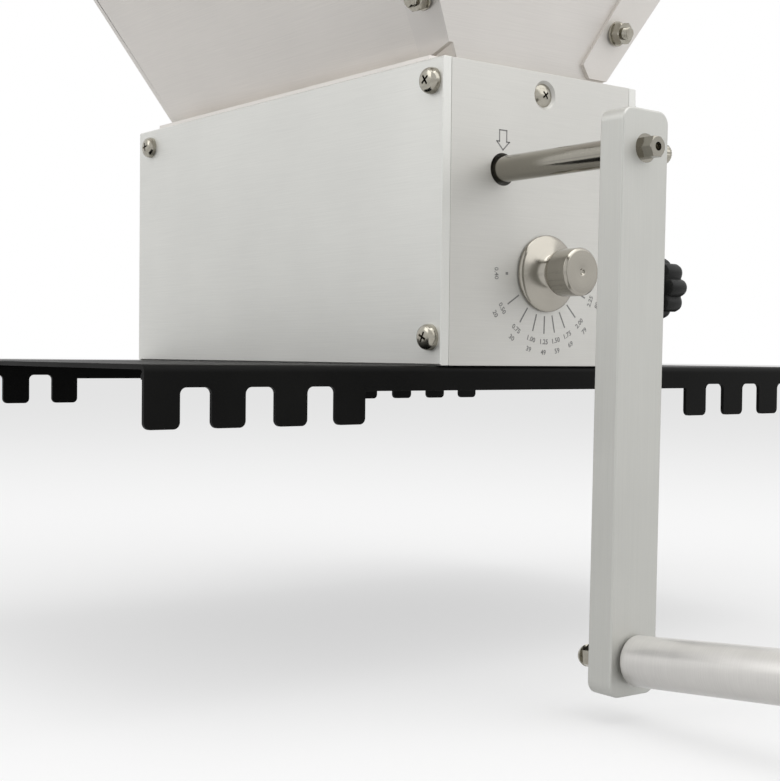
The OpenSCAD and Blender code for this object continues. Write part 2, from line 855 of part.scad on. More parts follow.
// Outer races of the four ball bearings, each with its two shields.
module bearing_outer_rings() {
    color(steel)
        for (side = [-1, 1])
            for (x = [left_plate_x, right_in_x])
                at_upper_axis(side) {
                    ring_x(x, x + bearing_w, bearing_od / 2, bearing_od / 2 - race_t);
                    for (shield_x = [x + 0.2, x + bearing_w - shield_t - 0.2])
                        ring_x(shield_x, shield_x + shield_t, bearing_od / 2 - race_t + 0.1,
                            shaft_d / 2 + seat + race_t + face_gap);
                }
}

module bearing_balls() {
    color(steel)
        for (side = [-1, 1])
            for (x = [left_plate_x, right_in_x])
                at_upper_axis(side)
                    for (i = [0:ball_count - 1])
                        rotate([i * 360 / ball_count, 0, 0])
                            translate([x + bearing_w / 2, 0, ball_r])
                                sphere(d = ball_d);
}

module adjuster_bushes() {
    color(bronze)
        at_adjuster_axis() {
            ring_x(left_plate_x, left_in_x, bush_od / 2, journal_d / 2 + running);
            difference() {
                ring_x(right_in_x, right_x, bush_od / 2, journal_d / 2 + running);
                translate([right_screw_x, 0, -stud_drop])
                    along_y()
                        cylinder(r = stud_tip_r + running, h = bush_od);
            }
        }
}

// ---- Hopper ----

// End wall on the +X side, with its lap round the front corner.
module end_wall() {
    corner = side_sheet;
    difference() {
        union() {
            loft(0, hopper_h, function (h)
                [ax(h), ax(h) + end_sheet, -ay(h) - corner, ay(h) - seam]);
            slanted_loft(side_lap_rise, side_fold_rise, lap_top, function (h)
                [ax(h) + end_sheet - side_lap - lap_growth * h, ax(h) + end_sheet,
                -ay(h) - 2 * side_sheet - seam, -ay(h) - side_sheet - seam]);
            loft(side_fold_rise, lap_top, function (h)
                [ax(h), ax(h) + end_sheet, -ay(h) - 2 * side_sheet - seam, -ay(h)]);
            box([ax(hopper_h - sheet_t), -ay(hopper_h - sheet_t), hopper_h - sheet_t],
                [ax(hopper_h) + end_sheet + rim_lip, ay(hopper_h - sheet_t) - seam, hopper_h]);
        }
        at_side_lap_bolts()
            bolt_hole();
        rotate(180)
            at_end_lap_bolts()
                bolt_hole();
        at_end_lap_bolts()
            bolt_hole();
    }
}

// Side wall on the +Y side, with its lap round the right corner.
module side_wall() {
    corner = end_sheet;
    difference() {
        union() {
            loft(0, hopper_h, function (h)
                [-ax(h) + seam, ax(h) + corner, ay(h), ay(h) + side_sheet]);
            loft(end_lap_rise, lap_top, function (h)
                [ax(h) + end_sheet + seam, ax(h) + 2 * end_sheet + seam,
                ay(h) + side_sheet - end_lap - lap_growth * h, ay(h) + side_sheet]);
            loft(end_lap_rise, lap_top, function (h)
                [ax(h), ax(h) + 2 * end_sheet + seam, ay(h), ay(h) + side_sheet]);
            box([-foot_l / 2 + seam, foot_d / 2, 0], [foot_l / 2, foot_d / 2 + side_sheet + side_lip, sheet_t]);
            box([-ax(hopper_h - sheet_t) + seam, ay(hopper_h - sheet_t), hopper_h - sheet_t],
                [ax(hopper_h - sheet_t), ay(hopper_h) + side_sheet + rim_lip, hopper_h]);
        }
        at_end_lap_bolts()
            bolt_hole();
        rotate(180)
            at_side_lap_bolts()
                bolt_hole();
        translate([ax(end_lap_rise), ay(end_lap_rise) + side_sheet - end_lap, end_lap_rise])
            rotate([45, 0, 0])
                cube([6 * end_sheet, end_lap_cut * sqrt(2), end_lap_cut * sqrt(2)], center = true);
        for (x = side_screw_xs)
            translate([x, side_screw_y, sheet_t])
                csk_hole(small_screw_d, small_head_d, sheet_t + 1);
    }
}

module bolt_hole() {
    translate([0, 0, -bolt_grip - 2])
        cylinder(d = screw_d + 2 * screw_clear, h = bolt_grip + 4);
}

module hopper_right() color(satin) at_hopper() end_wall();
module hopper_left() color(satin) at_hopper() rotate(180) end_wall();
module hopper_back() color(satin) at_hopper() side_wall();
module hopper_front() color(satin) at_hopper() rotate(180) side_wall();

// Pan heads inside the hopper, threads out through the washers and nuts.
module hopper_bolts() {
    color(steel)
        at_corner_bolts()
            translate([0, 0, -bolt_grip])
                rotate([180, 0, 0])
                    pan_screw(screw_d, pan_head_d * 0.9, pan_head_h * 0.8, bolt_grip + bolt_end);
}

module hopper_washers() {
    color(steel)
        at_corner_bolts()
            difference() {
                cylinder(d = washer_d, h = washer_t);
                translate([0, 0, -1])
                    cylinder(d = screw_d + 2 * screw_clear, h = washer_t + 2);
            }
}

module hopper_nuts() {
    color(steel)
        at_corner_bolts()
            translate([0, 0, washer_t])
                difference() {
                    cylinder(d = nut_af / cos(30), h = nut_t, $fn = 6);
                    translate([0, 0, -1])
                        cylinder(r = screw_d / 2 + seat, h = nut_t + 2);
                }
}

module hopper_foot_screws() {
    color(steel)
        for (side = [-1, 1])
            at_side_foot_screws(side)
                csk_screw(small_screw_d, small_head_d, sheet_t + top_frame_t, 0.2);
}

// ---- Crank ----

module drive_shaft() {
    color(steel)
        at_upper_axis(-1)
            difference() {
                union() {
                    rod_x(shaft_left_x, arm_face_x, shaft_d / 2);
                    intersection() {
                        translate([arm_face_x - 0.1, 0, 0])
                            along_x()
                                rotate(30)
                                    cylinder(d = hex_af / cos(30), h = hex_l + 0.1, $fn = 6);
                        translate([arm_face_x - 0.1, 0, 0])
                            along_x()
                                turned([[0, 0], [hex_af * 0.58, 0], [hex_af * 0.58, hex_l - 0.5],
                                    [hex_af * 0.48, hex_l + 0.1], [0, hex_l + 0.1]]);
                    }
                }
                rod_x(arm_face_x + hex_l - 4, arm_face_x + hex_l + 1, centre_hole_d / 2);
            }
}

// A roller about X with a shallow turned recess in each end face.
module roller(bore_r, hub_r) {
    x0 = chamber_x - roller_l / 2;
    x1 = chamber_x + roller_l / 2;
    difference() {
        rod_x(x0, x1, roller_r);
        rod_x(x0 - 1, x1 + 1, bore_r);
        ring_x(x0 - 1, x0 + roller_recess, roller_r - 4, hub_r);
        ring_x(x1 - roller_recess, x1 + 1, roller_r - 4, hub_r);
    }
}

module drive_roller() color(steel) at_upper_axis(-1) roller(shaft_d / 2 + seat, shaft_d / 2 + 4);
module idle_roller() color(steel) at_upper_axis(1) roller(shaft_d / 2 + seat, shaft_d / 2 + 4);

module inner_rings() {
    for (x = [left_plate_x, right_in_x])
        ring_x(x, x + bearing_w, shaft_d / 2 + seat + race_t - 0.02, shaft_d / 2 + seat);
}

module drive_inner_rings() color(steel) at_upper_axis(-1) inner_rings();
module idle_inner_rings() color(steel) at_upper_axis(1) inner_rings();

module crank_arm() {
    low_z = handle_z - arm_bottom;
    high_z = upper_z + arm_top;
    color(satin)
        turned_crank() difference() {
            translate([arm_x, -axis_y, (low_z + high_z) / 2])
                rotate([90, 0, 90])
                    linear_extrude(arm_t)
                        arm_outline(high_z - low_z);
            at_upper_axis(-1) {
                rod_x(arm_x - 1, arm_face_x + 1, shaft_d / 2 + seat);
                translate([arm_x + arm_t / 2, 0, 0])
                    along_y()
                        cylinder(r = crank_screw_d / 2 + seat, h = arm_w);
            }
            at_handle() {
                translate([0, 0, -spindle_root])
                    cylinder(r = spindle_d / 2 + seat, h = 10);
                translate([0, 0, -arm_t - 10])
                    cylinder(r = screw_d / 2 + screw_clear, h = arm_t + 20);
                translate([0, 0, handle_seat - 10])
                    cylinder(d = washer_d + 1, h = 10);
            }
        }
}

module arm_outline(length) {
    square([arm_w - 2 * arm_corner_r, length], center = true);
    square([arm_w, length - 2 * arm_corner_r], center = true);
    for (sy = [-1, 1])
        for (sz = [-1, 1])
            translate([sy * (arm_w / 2 - arm_corner_r), sz * (length / 2 - arm_corner_r)])
                circle(r = arm_corner_r);
}

// Cap screw that clamps the arm on the shaft; its head stands on the arm's side.
module crank_clamp_screw() {
    head_start = arm_w / 2;
    color(steel)
        turned_crank() translate([arm_x + arm_t / 2, -axis_y, upper_z])
            along_y()
                difference() {
                    union() {
                        translate([0, 0, shaft_d / 2 + seat])
                            cylinder(d = crank_screw_d, h = head_start - shaft_d / 2);
                        translate([0, 0, head_start])
                            cylinder(d = crank_head_d, h = crank_screw_d);
                    }
                    translate([0, 0, head_start + crank_screw_d * 0.4])
                        cylinder(d = 4.6, h = crank_screw_d, $fn = 6);
                }
}

// Spindle with a flat head and a thread that runs through the arm into the cap nut.
module handle_spindle() {
    thread_end = cap_nut_z - cap_nut_h * 0.6;
    color(steel)
        turned_crank() at_handle() {
            translate([0, 0, -spindle_root])
                cylinder(d = spindle_d, h = spindle_root + grip_end - grip_recess + 0.3);
            translate([0, 0, grip_end - grip_recess + 0.2])
                cylinder(d = grip_recess_d - 1, h = spindle_head_t);
            translate([0, 0, thread_end])
                cylinder(d = screw_d, h = -thread_end - spindle_root + 0.1);
        }
}

// Washer, nut and domed cap nut of the handle's thread, on the arm's inner side.
module handle_washer() {
    color(steel)
        turned_crank() at_handle()
            translate([0, 0, handle_seat - washer_t])
                difference() {
                    cylinder(d = washer_d, h = washer_t);
                    translate([0, 0, -1])
                        cylinder(d = screw_d + 2 * screw_clear, h = washer_t + 2);
                }
}

module handle_nut() {
    color(steel)
        turned_crank() at_handle()
            translate([0, 0, cap_nut_z])
                difference() {
                    cylinder(d = nut_af / cos(30), h = nut_t, $fn = 6);
                    translate([0, 0, -1])
                        cylinder(r = screw_d / 2 + seat, h = nut_t + 2);
                }
}

module handle_cap_nut() {
    hex_h = cap_nut_h * 0.5;
    color(steel)
        turned_crank() at_handle()
            translate([0, 0, cap_nut_z])
                rotate([180, 0, 0])
                    difference() {
                        union() {
                            cylinder(d = nut_af / cos(30), h = hex_h, $fn = 6);
                            translate([0, 0, hex_h - 0.1])
                                turned(concat([[0, 0]], dome(nut_af * 0.47, cap_nut_h - hex_h + 0.1, 10)));
                        }
                        translate([0, 0, -1])
                            cylinder(r = screw_d / 2 + seat, h = cap_nut_h * 0.6 + 1.4);
                    }
}

module handle_grip() {
    color(satin)
        turned_crank() at_handle()
            difference() {
                translate([0, 0, grip_start])
                    turned([[0, 0], [handle_d / 2 - 1, 0], [handle_d / 2, 1], [handle_d / 2, handle_l - 1.5],
                        [handle_d / 2 - 1.5, handle_l], [0, handle_l]]);
                cylinder(r = spindle_d / 2 + running, h = grip_end);
                translate([0, 0, grip_end - grip_recess])
                    cylinder(d = grip_recess_d, h = grip_recess + 1);
            }
}

module handle_end_cap() {
    color(black)
        turned_crank() at_handle()
            translate([0, 0, grip_end - grip_recess + spindle_head_t + 0.5])
                cylinder(r = grip_recess_d / 2 - seat, h = grip_recess - spindle_head_t - 0.5);
}

// ---- Idle roller ----

module idle_shaft() {
    color(steel)
        at_upper_axis(1)
            rod_x(shaft_left_x, right_in_x + bearing_w - face_gap, shaft_d / 2);
}

// ---- Gap adjuster and lower roller ----

module adjuster_shaft() {
    color(steel) {
        at_adjuster_axis() {
            rod_x(left_plate_x + face_gap, right_x, journal_d / 2);
            rod_x(right_x - 0.1, right_x + knob_l - 6, knob_stub_d / 2);
        }
        at_lower_axis()
            rod_x(left_in_x + face_gap, right_in_x - face_gap, eccentric_d / 2);
    }
}

// Knob with a flat rim, a hollow-curved cone, a narrow neck and a round grip.
module adjuster_knob() {
    rim_r = knob_rim_d / 2;
    neck_r = knob_neck_d / 2;
    grip_r = knob_grip_d / 2;
    flare = [for (i = [0:8]) let (s = i / 8)
        [neck_r + (rim_r - 0.8 - neck_r) * pow(1 - s, 1.9), 2.2 + (knob_neck_x - 2.2) * s]];
    bulge = [for (i = [1:6]) let (a = i * 15)
        [neck_r + (grip_r - neck_r) * sin(a), knob_neck_x + 1.2 + 3.4 * (1 - cos(a))]];
    color(steel)
        at_adjuster_axis()
            difference() {
                translate([right_x, 0, 0])
                    along_x()
                        turned(concat([[0, face_gap], [rim_r, face_gap], [rim_r, 1.6]], flare, bulge,
                            [[grip_r, knob_l - 1.1], [grip_r - 1.1, knob_l], [1.6, knob_l],
                            [1, knob_l - 0.8], [0, knob_l - 0.8]]));
                rod_x(right_x - 1, right_x + knob_l - 5.8, knob_stub_d / 2 + seat);
                at_knob_grub()
                    translate([0, 0, -1.5])
                        cylinder(r = 2 + seat, h = grip_r);
            }
}

module at_knob_grub() {
    translate([right_x + knob_l - 8.6, 0, 0])
        rotate([-150, 0, 0])
            translate([0, 0, knob_stub_d / 2 + seat])
                children();
}

module knob_grub_screw() {
    color(steel)
        at_adjuster_axis()
            at_knob_grub()
                difference() {
                    cylinder(r = 2, h = 4.5);
                    translate([0, 0, 2.5])
                        cylinder(d = 2.3, h = 3, $fn = 6);
                }
}

module lower_roller() {
    color(steel)
        at_lower_axis()
            roller(roller_bush_od / 2 + seat, roller_bush_od / 2 + 2);
}

module lower_roller_bushes() {
    x0 = chamber_x - roller_l / 2;
    x1 = chamber_x + roller_l / 2;
    color(bronze)
        at_lower_axis() {
            ring_x(x0, x0 + roller_bush_l, roller_bush_od / 2, eccentric_d / 2 + running);
            ring_x(x1 - roller_bush_l, x1, roller_bush_od / 2, eccentric_d / 2 + running);
        }
}

// ---- Lock ----

module lock_knob() {
    lobe_r = star_d * 0.14;
    color(black)
        translate([right_screw_x, 0, stud_z])
            along_y()
                difference() {
                    union() {
                        translate([0, 0, star_y])
                            linear_extrude(star_t) {
                                circle(r = star_d / 2 - lobe_r * 0.72);
                                for (i = [0:star_lobes - 1])
                                    rotate(i * 360 / star_lobes)
                                        translate([star_d / 2 - lobe_r, 0])
                                            circle(r = lobe_r);
                            }
                        translate([0, 0, star_y - star_hub_l])
                            cylinder(d = star_hub_d, h = star_hub_l + 0.1);
                    }
                    translate([0, 0, star_y - star_hub_l - 1])
                        cylinder(r = stud_d / 2 + seat, h = star_hub_l + star_t * 0.6 + 1);
                }
}

// Threaded stud whose dog point reaches the adjuster's journal.
module lock_stud() {
    shoulder_y = adjuster_y + bush_od / 2 + 0.5;
    color(steel)
        translate([right_screw_x, 0, stud_z])
            along_y() {
                translate([0, 0, journal_edge + face_gap])
                    cylinder(r = stud_tip_r, h = shoulder_y - journal_edge);
                translate([0, 0, shoulder_y])
                    cylinder(d = stud_d, h = star_y + star_t * 0.6 - shoulder_y - face_gap);
            }
}

base_plate();
end_plate_right();
end_plate_left();
end_cover_left();
front_cover();
back_cover();
top_frame();
grain_guides();
guide_screws();
front_cover_screws();
back_cover_screws();
end_plate_screws();
end_cover_screws();
base_screws();
bearing_outer_rings();
bearing_balls();
adjuster_bushes();
hopper_front();
hopper_back();
hopper_right();
hopper_left();
hopper_bolts();
hopper_washers();
hopper_nuts();
hopper_foot_screws();
drive_shaft();
drive_roller();
drive_inner_rings();
crank_arm();
crank_clamp_screw();
handle_spindle();
handle_washer();
handle_nut();
handle_cap_nut();
handle_grip();
handle_end_cap();
idle_roller();
idle_shaft();
idle_inner_rings();
adjuster_shaft();
adjuster_knob();
knob_grub_screw();
lower_roller();
lower_roller_bushes();
lock_knob();
lock_stud();
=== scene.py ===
"""Looks of a hand-cranked three-roller grain mill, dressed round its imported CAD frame.

Plates, bars and folded sheets are merged copies of their CAD solids with broken edges and bent
folds.  Turned parts are spun from their profiles.  Screws, nuts, washers, threads, dial ticks and
knurled rollers are made by Geometry Nodes trees that this file builds.  Sizes are in millimetres
and are turned into metres where a mesh is made.
"""

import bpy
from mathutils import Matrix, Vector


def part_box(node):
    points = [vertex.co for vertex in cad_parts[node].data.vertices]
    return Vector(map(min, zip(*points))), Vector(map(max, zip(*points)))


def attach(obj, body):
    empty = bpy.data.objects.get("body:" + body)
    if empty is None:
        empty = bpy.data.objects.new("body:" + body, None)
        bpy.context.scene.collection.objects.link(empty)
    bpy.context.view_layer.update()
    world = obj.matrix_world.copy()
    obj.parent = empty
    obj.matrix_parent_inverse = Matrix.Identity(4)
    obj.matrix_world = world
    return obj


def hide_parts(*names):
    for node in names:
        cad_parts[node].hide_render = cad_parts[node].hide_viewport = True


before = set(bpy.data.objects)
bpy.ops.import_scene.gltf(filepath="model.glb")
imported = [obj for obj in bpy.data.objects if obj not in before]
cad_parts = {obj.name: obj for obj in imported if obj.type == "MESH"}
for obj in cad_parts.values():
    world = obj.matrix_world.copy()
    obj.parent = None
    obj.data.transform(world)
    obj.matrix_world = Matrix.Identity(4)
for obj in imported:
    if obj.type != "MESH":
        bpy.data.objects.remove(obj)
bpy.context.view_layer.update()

import logging
import math
from dataclasses import dataclass, field
from enum import Enum
from typing import Any, Callable, Iterable, Sequence, Union

import bmesh
import bpy
from mathutils import Matrix, Vector

LOG = logging.getLogger("grain_mill")
MM = 0.001
BROAD = 3.5 * MM
Point = tuple[float, float, float]
Colour = tuple[float, float, float]


class Way(Enum):
    """A direction along one of the frame's axes."""

    RIGHT = (1.0, 0.0, 0.0)
    LEFT = (-1.0, 0.0, 0.0)
    BACK = (0.0, 1.0, 0.0)
    FRONT = (0.0, -1.0, 0.0)
    UP = (0.0, 0.0, 1.0)
    DOWN = (0.0, 0.0, -1.0)

    @property
    def vector(self) -> Vector:
        """The direction as a vector."""
        return Vector(self.value)


class Slot(Enum):
    """Material slots of the part's record."""

    BODY = "body_aluminium"
    ARM = "arm_aluminium"
    GRIP = "grip_aluminium"
    HOPPER = "hopper_sheet"
    PLATE = "plate_black"
    SCREW = "screw_steel"
    SHAFT = "shaft_steel"
    ROLLER = "roller_steel"
    KNOB = "knob_steel"
    BEARING = "bearing_steel"
    BUSH = "bush_bronze"
    PLASTIC = "knob_plastic"


# ---- Node trees written as expressions ----


class Term:
    """A node's output socket; the usual operators on it add Math nodes."""

    def __init__(self, book: "Book", socket: Any) -> None:
        """Keeps the socket and the book whose tree it is in."""
        self.book = book
        self.socket = socket

    def math(self, operation: str, *others: "Number") -> "Term":
        """Adds one Math node whose first value is this socket.

        Args:
            operation: the Math node's operation.
            others: its other values, numbers or terms.

        Returns:
            The node's output.
        """
        return self.book.math(operation, self, *others)

    def __add__(self, other: "Number") -> "Term":
        """Sum."""
        return self.math("ADD", other)

    __radd__ = __add__

    def __sub__(self, other: "Number") -> "Term":
        """Difference."""
        return self.math("SUBTRACT", other)

    def __rsub__(self, other: "Number") -> "Term":
        """Difference, with this term taken off the other."""
        return self.book.math("SUBTRACT", other, self)

    def __mul__(self, other: "Number") -> "Term":
        """Product."""
        return self.math("MULTIPLY", other)

    __rmul__ = __mul__

    def __truediv__(self, other: "Number") -> "Term":
        """Quotient."""
        return self.math("DIVIDE", other)

    def __rtruediv__(self, other: "Number") -> "Term":
        """Quotient, with the other divided by this term."""
        return self.book.math("DIVIDE", other, self)

    def __mod__(self, other: "Number") -> "Term":
        """Remainder that is never negative."""
        return self.math("FLOORED_MODULO", other)

    def __pow__(self, other: "Number") -> "Term":
        """Power."""
        return self.math("POWER", other)

    def clamped(self) -> "Term":
        """The value held between 0 and 1."""
        return self.math("MAXIMUM", 0.0).math("MINIMUM", 1.0)


Number = Union[int, float, Term]


class Book:
    """Adds nodes to one tree and links their sockets."""

    def __init__(self, tree: bpy.types.NodeTree) -> None:
        """Keeps the tree."""
        self.tree = tree

    def add(self, kind: str, settings: dict[str, Any] | None = None,
            values: dict[Any, Any] | None = None, out: Any = 0) -> Term:
        """Adds a node, sets its options first and then its inputs.

        Args:
            kind: the node's type.
            settings: its options; stops fills a colour ramp.
            values: its inputs by name or number, as numbers, terms or lists of terms.
            out: name or number of the output that is returned.

        Returns:
            The chosen output.
        """
        node = self.tree.nodes.new(kind)
        for key, value in (settings or {}).items():
            if key == "stops":
                self._stops(node.color_ramp, value)
            else:
                setattr(node, key, value)
        for key, value in (values or {}).items():
            for item in value if isinstance(value, list) else [value]:
                if isinstance(item, Term):
                    self.tree.links.new(item.socket, node.inputs[key])
                else:
                    node.inputs[key].default_value = item
        return Term(self, node.outputs[out]) if len(node.outputs) else Term(self, None)

    @staticmethod
    def _stops(ramp: bpy.types.ColorRamp, stops: Sequence[tuple[float, float]]) -> None:
        """Fills a ramp with grey stops."""
        while len(ramp.elements) < len(stops):
            ramp.elements.new(0.5)
        for element, (place, grey) in zip(ramp.elements, stops):
            element.position = place
            element.color = (grey, grey, grey, 1.0)

    def math(self, operation: str, *terms: Number) -> Term:
        """Adds one Math node."""
        return self.add("ShaderNodeMath", {"operation": operation}, dict(enumerate(terms)))

    def vector(self, operation: str, *terms: Any, out: Any = 0) -> Term:
        """Adds one Vector Math node."""
        return self.add("ShaderNodeVectorMath", {"operation": operation}, dict(enumerate(terms)), out)

    def parts(self, vector: Term) -> tuple[Term, Term, Term]:
        """Splits a vector into its three numbers."""
        split = self.add("ShaderNodeSeparateXYZ", None, {0: vector}).socket.node
        return tuple(Term(self, split.outputs[i]) for i in range(3))

    def joined(self, x: Number, y: Number, z: Number) -> Term:
        """Makes a vector of three numbers."""
        return self.add("ShaderNodeCombineXYZ", None, {0: x, 1: y, 2: z})

    def mix(self, share: Number, first: Any, second: Any) -> Term:
        """Blends two colours."""
        return self.add("ShaderNodeMix", {"data_type": "RGBA"}, {0: share, 6: first, 7: second}, 2)

    def noise(self, place: Term, scale: Point, detail: float = 2.0, rough: float = 0.5) -> Term:
        """Noise whose cells are scale cells to the metre along each axis.

        Args:
            place: the coordinates.
            scale: cells to the metre along each axis.
            detail: octaves.
            rough: how much the finer octaves count.

        Returns:
            A value round 0.5.
        """
        at = self.vector("MULTIPLY", place, scale)
        return self.add("ShaderNodeTexNoise", None,
                        {"Vector": at, "Scale": 1.0, "Detail": detail, "Roughness": rough})

    def bump(self, height: Term, depth: float, strength: float = 1.0) -> Term:
        """A normal bent by a height of the given depth in metres."""
        return self.add("ShaderNodeBump", None, {"Strength": strength, "Distance": depth, "Height": height})


# ---- Finishes ----


def colour4(colour: Colour) -> tuple[float, float, float, float]:
    """The colour with full opacity."""
    return (*colour, 1.0)


def shade(colour: Colour, factor: float) -> tuple[float, float, float, float]:
    """The colour made lighter or darker by a factor."""
    return (*(min(1.0, channel * factor) for channel in colour), 1.0)


@dataclass(frozen=True)
class Finish:
    """A surface: its name, its fixed shader values, and its pattern."""

    name: str
    colour: Colour
    roughness: float

    def fixed(self) -> dict[str, float]:
        """Shader inputs that are the same all over the surface."""
        return {"Metallic": 1.0}

    def pattern(self, book: Book, place: Term) -> dict[str, Term]:
        """Shader inputs that change over the surface."""
        raise NotImplementedError

    def material(self) -> bpy.types.Material:
        """Builds the material, or returns the one that has been built.

        Returns:
            The material of this finish.
        """
        known = bpy.data.materials.get(self.name)
        if known is not None:
            return known
        made = bpy.data.materials.new(self.name)
        made.use_nodes = True
        made.node_tree.nodes.clear()
        book = Book(made.node_tree)
        place = book.add("ShaderNodeTexCoord", out="Object")
        values = {"Base Color": colour4(self.colour), "Roughness": self.roughness}
        values.update(self.fixed())
        values.update(self.pattern(book, place))
        surface = book.add("ShaderNodeBsdfPrincipled", None, values)
        book.add("ShaderNodeOutputMaterial", None, {"Surface": surface})
        made.diffuse_color = colour4(self.colour)
        return made


@dataclass(frozen=True)
class BrushedMetal(Finish):
    """Metal with fine straight lines, slow clouds of tone and faint handling marks."""

    lines: Point = (2600.0, 40.0, 2600.0)
    contrast: float = 0.05
    spread: float = 0.1
    depth: float = 0.000012
    metallic: float = 0.6

    def fixed(self) -> dict[str, float]:
        """Metal share."""
        return {"Metallic": self.metallic}

    def pattern(self, book: Book, place: Term) -> dict[str, Term]:
        """Lines in tone, roughness and relief over slow clouds."""
        line = book.noise(place, self.lines, 3.0, 0.6)
        cloud = book.noise(place, (14.0, 14.0, 14.0), 3.0, 0.55)
        speck = book.noise(place, (5200.0, 5200.0, 5200.0), 1.0)
        tone = (line - 0.5) * 0.7 + (cloud - 0.5) * 0.8 + (speck - 0.5) * 0.3
        share = (tone * 2.0 + 0.5).clamped()
        base = book.mix(share, shade(self.colour, 1 - self.contrast), shade(self.colour, 1 + self.contrast))
        rough = (self.roughness + (line - 0.5) * self.spread + (cloud - 0.5) * self.spread).clamped()
        return {"Base Color": base, "Roughness": rough, "Normal": book.bump(line + speck * 0.4, self.depth)}


@dataclass(frozen=True)
class TurnedMetal(Finish):
    """Metal turned in a lathe: rings round an axis and on the faces across it."""

    origin: Point = (0.0, 0.0, 0.0)
    axis: Point = (1.0, 0.0, 0.0)
    pitch: float = 3400.0
    contrast: float = 0.07
    spread: float = 0.12
    depth: float = 0.000008
    metallic: float = 1.0

    def fixed(self) -> dict[str, float]:
        """Metal share."""
        return {"Metallic": self.metallic}

    def pattern(self, book: Book, place: Term) -> dict[str, Term]:
        """Rings along the axis and out from it, with slow clouds."""
        arm = book.vector("SUBTRACT", place, self.origin)
        along = book.vector("DOT_PRODUCT", arm, self.axis, out="Value")
        foot = book.vector("SCALE", self.axis)
        scale = foot.socket.node
        book.tree.links.new(along.socket, scale.inputs["Scale"])
        reach = book.vector("LENGTH", book.vector("SUBTRACT", arm, foot), out="Value")
        rings = book.noise(book.joined(along, reach, 0.0), (self.pitch, self.pitch, 1.0), 2.0, 0.6)
        cloud = book.noise(place, (60.0, 60.0, 60.0), 3.0, 0.6)
        share = ((rings - 0.5) * 1.6 + (cloud - 0.5) * 1.2 + 0.5).clamped()
        base = book.mix(share, shade(self.colour, 1 - self.contrast), shade(self.colour, 1 + self.contrast))
        rough = (self.roughness + (rings - 0.5) * self.spread + (cloud - 0.5) * self.spread).clamped()
        return {"Base Color": base, "Roughness": rough, "Normal": book.bump(rings, self.depth)}


@dataclass(frozen=True)
class PlatedMetal(Finish):
    """Bright plating on small steel parts, slightly uneven in tone and gloss."""

    stain: Colour = (0.5, 0.46, 0.38)

    def pattern(self, book: Book, place: Term) -> dict[str, Term]:
        """Soft stains and fine pits."""
        stain = book.noise(place, (420.0, 420.0, 420.0), 4.0, 0.6)
        pits = book.noise(place, (4200.0, 4200.0, 4200.0), 2.0)
        share = ((stain - 0.45) * 2.2).clamped()
        rough = (self.roughness + (stain - 0.5) * 0.25 + (pits - 0.5) * 0.1).clamped()
        return {"Base Color": book.mix(share, colour4(self.colour), colour4(self.stain)),
                "Roughness": rough, "Normal": book.bump(pits + stain, 0.00001)}


@dataclass(frozen=True)
class PowderCoat(Finish):
    """Baked powder paint with a fine orange-peel skin and rubbed patches."""

    def fixed(self) -> dict[str, float]:
        """Paint, not metal."""
        return {"Metallic": 0.0, "Specular IOR Level": 0.07}

    def pattern(self, book: Book, place: Term) -> dict[str, Term]:
        """Orange peel, dust and rubbed patches."""
        peel = book.noise(place, (900.0, 900.0, 900.0), 2.0, 0.4)
        rub = book.noise(place, (26.0, 26.0, 26.0), 4.0, 0.6)
        dust = ((book.noise(place, (2400.0, 2400.0, 2400.0), 1.0) - 0.62) * 5.0).clamped()
        share = ((rub - 0.5) * 1.5 + 0.35 + dust * 0.3).clamped()
        return {"Base Color": book.mix(share, shade(self.colour, 0.8), shade(self.colour, 1.7)),
                "Roughness": (self.roughness + (rub - 0.5) * 0.3 + dust * 0.1).clamped(),
                "Normal": book.bump(peel, 0.00006, 0.6)}


@dataclass(frozen=True)
class MouldedPlastic(Finish):
    """Moulded plastic with a fine spark-eroded grain and smoother rubbed patches."""

    def fixed(self) -> dict[str, float]:
        """Plastic, not metal."""
        return {"Metallic": 0.0, "Specular IOR Level": 0.25}

    def pattern(self, book: Book, place: Term) -> dict[str, Term]:
        """Grain and slow changes of gloss."""
        grain = book.noise(place, (2600.0, 2600.0, 2600.0), 3.0, 0.6)
        rub = book.noise(place, (90.0, 90.0, 90.0), 3.0, 0.5)
        return {"Base Color": book.mix((rub * 1.2 - 0.1).clamped(), shade(self.colour, 0.75), shade(self.colour, 1.4)),
                "Roughness": (self.roughness + (rub - 0.5) * 0.3 + (grain - 0.5) * 0.1).clamped(),
                "Normal": book.bump(grain, 0.00004, 0.8)}


@dataclass(frozen=True)
class EngravedMark(Finish):
    """The grey, slightly rough floor of a laser-marked line."""

    def fixed(self) -> dict[str, float]:
        """Oxidised metal."""
        return {"Metallic": 0.2}

    def pattern(self, book: Book, place: Term) -> dict[str, Term]:
        """Uneven burn."""
        burn = book.noise(place, (1800.0, 1800.0, 1800.0), 3.0, 0.7)
        return {"Base Color": book.mix((burn * 1.4 - 0.2).clamped(), shade(self.colour, 0.7), shade(self.colour, 1.5)),
                "Roughness": (self.roughness + (burn - 0.5) * 0.3).clamped()}


def node_centre(node: str) -> Vector:
    """The middle of a CAD node's box, in millimetres."""
    low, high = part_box(node)
    return (low + high) / 2 / MM


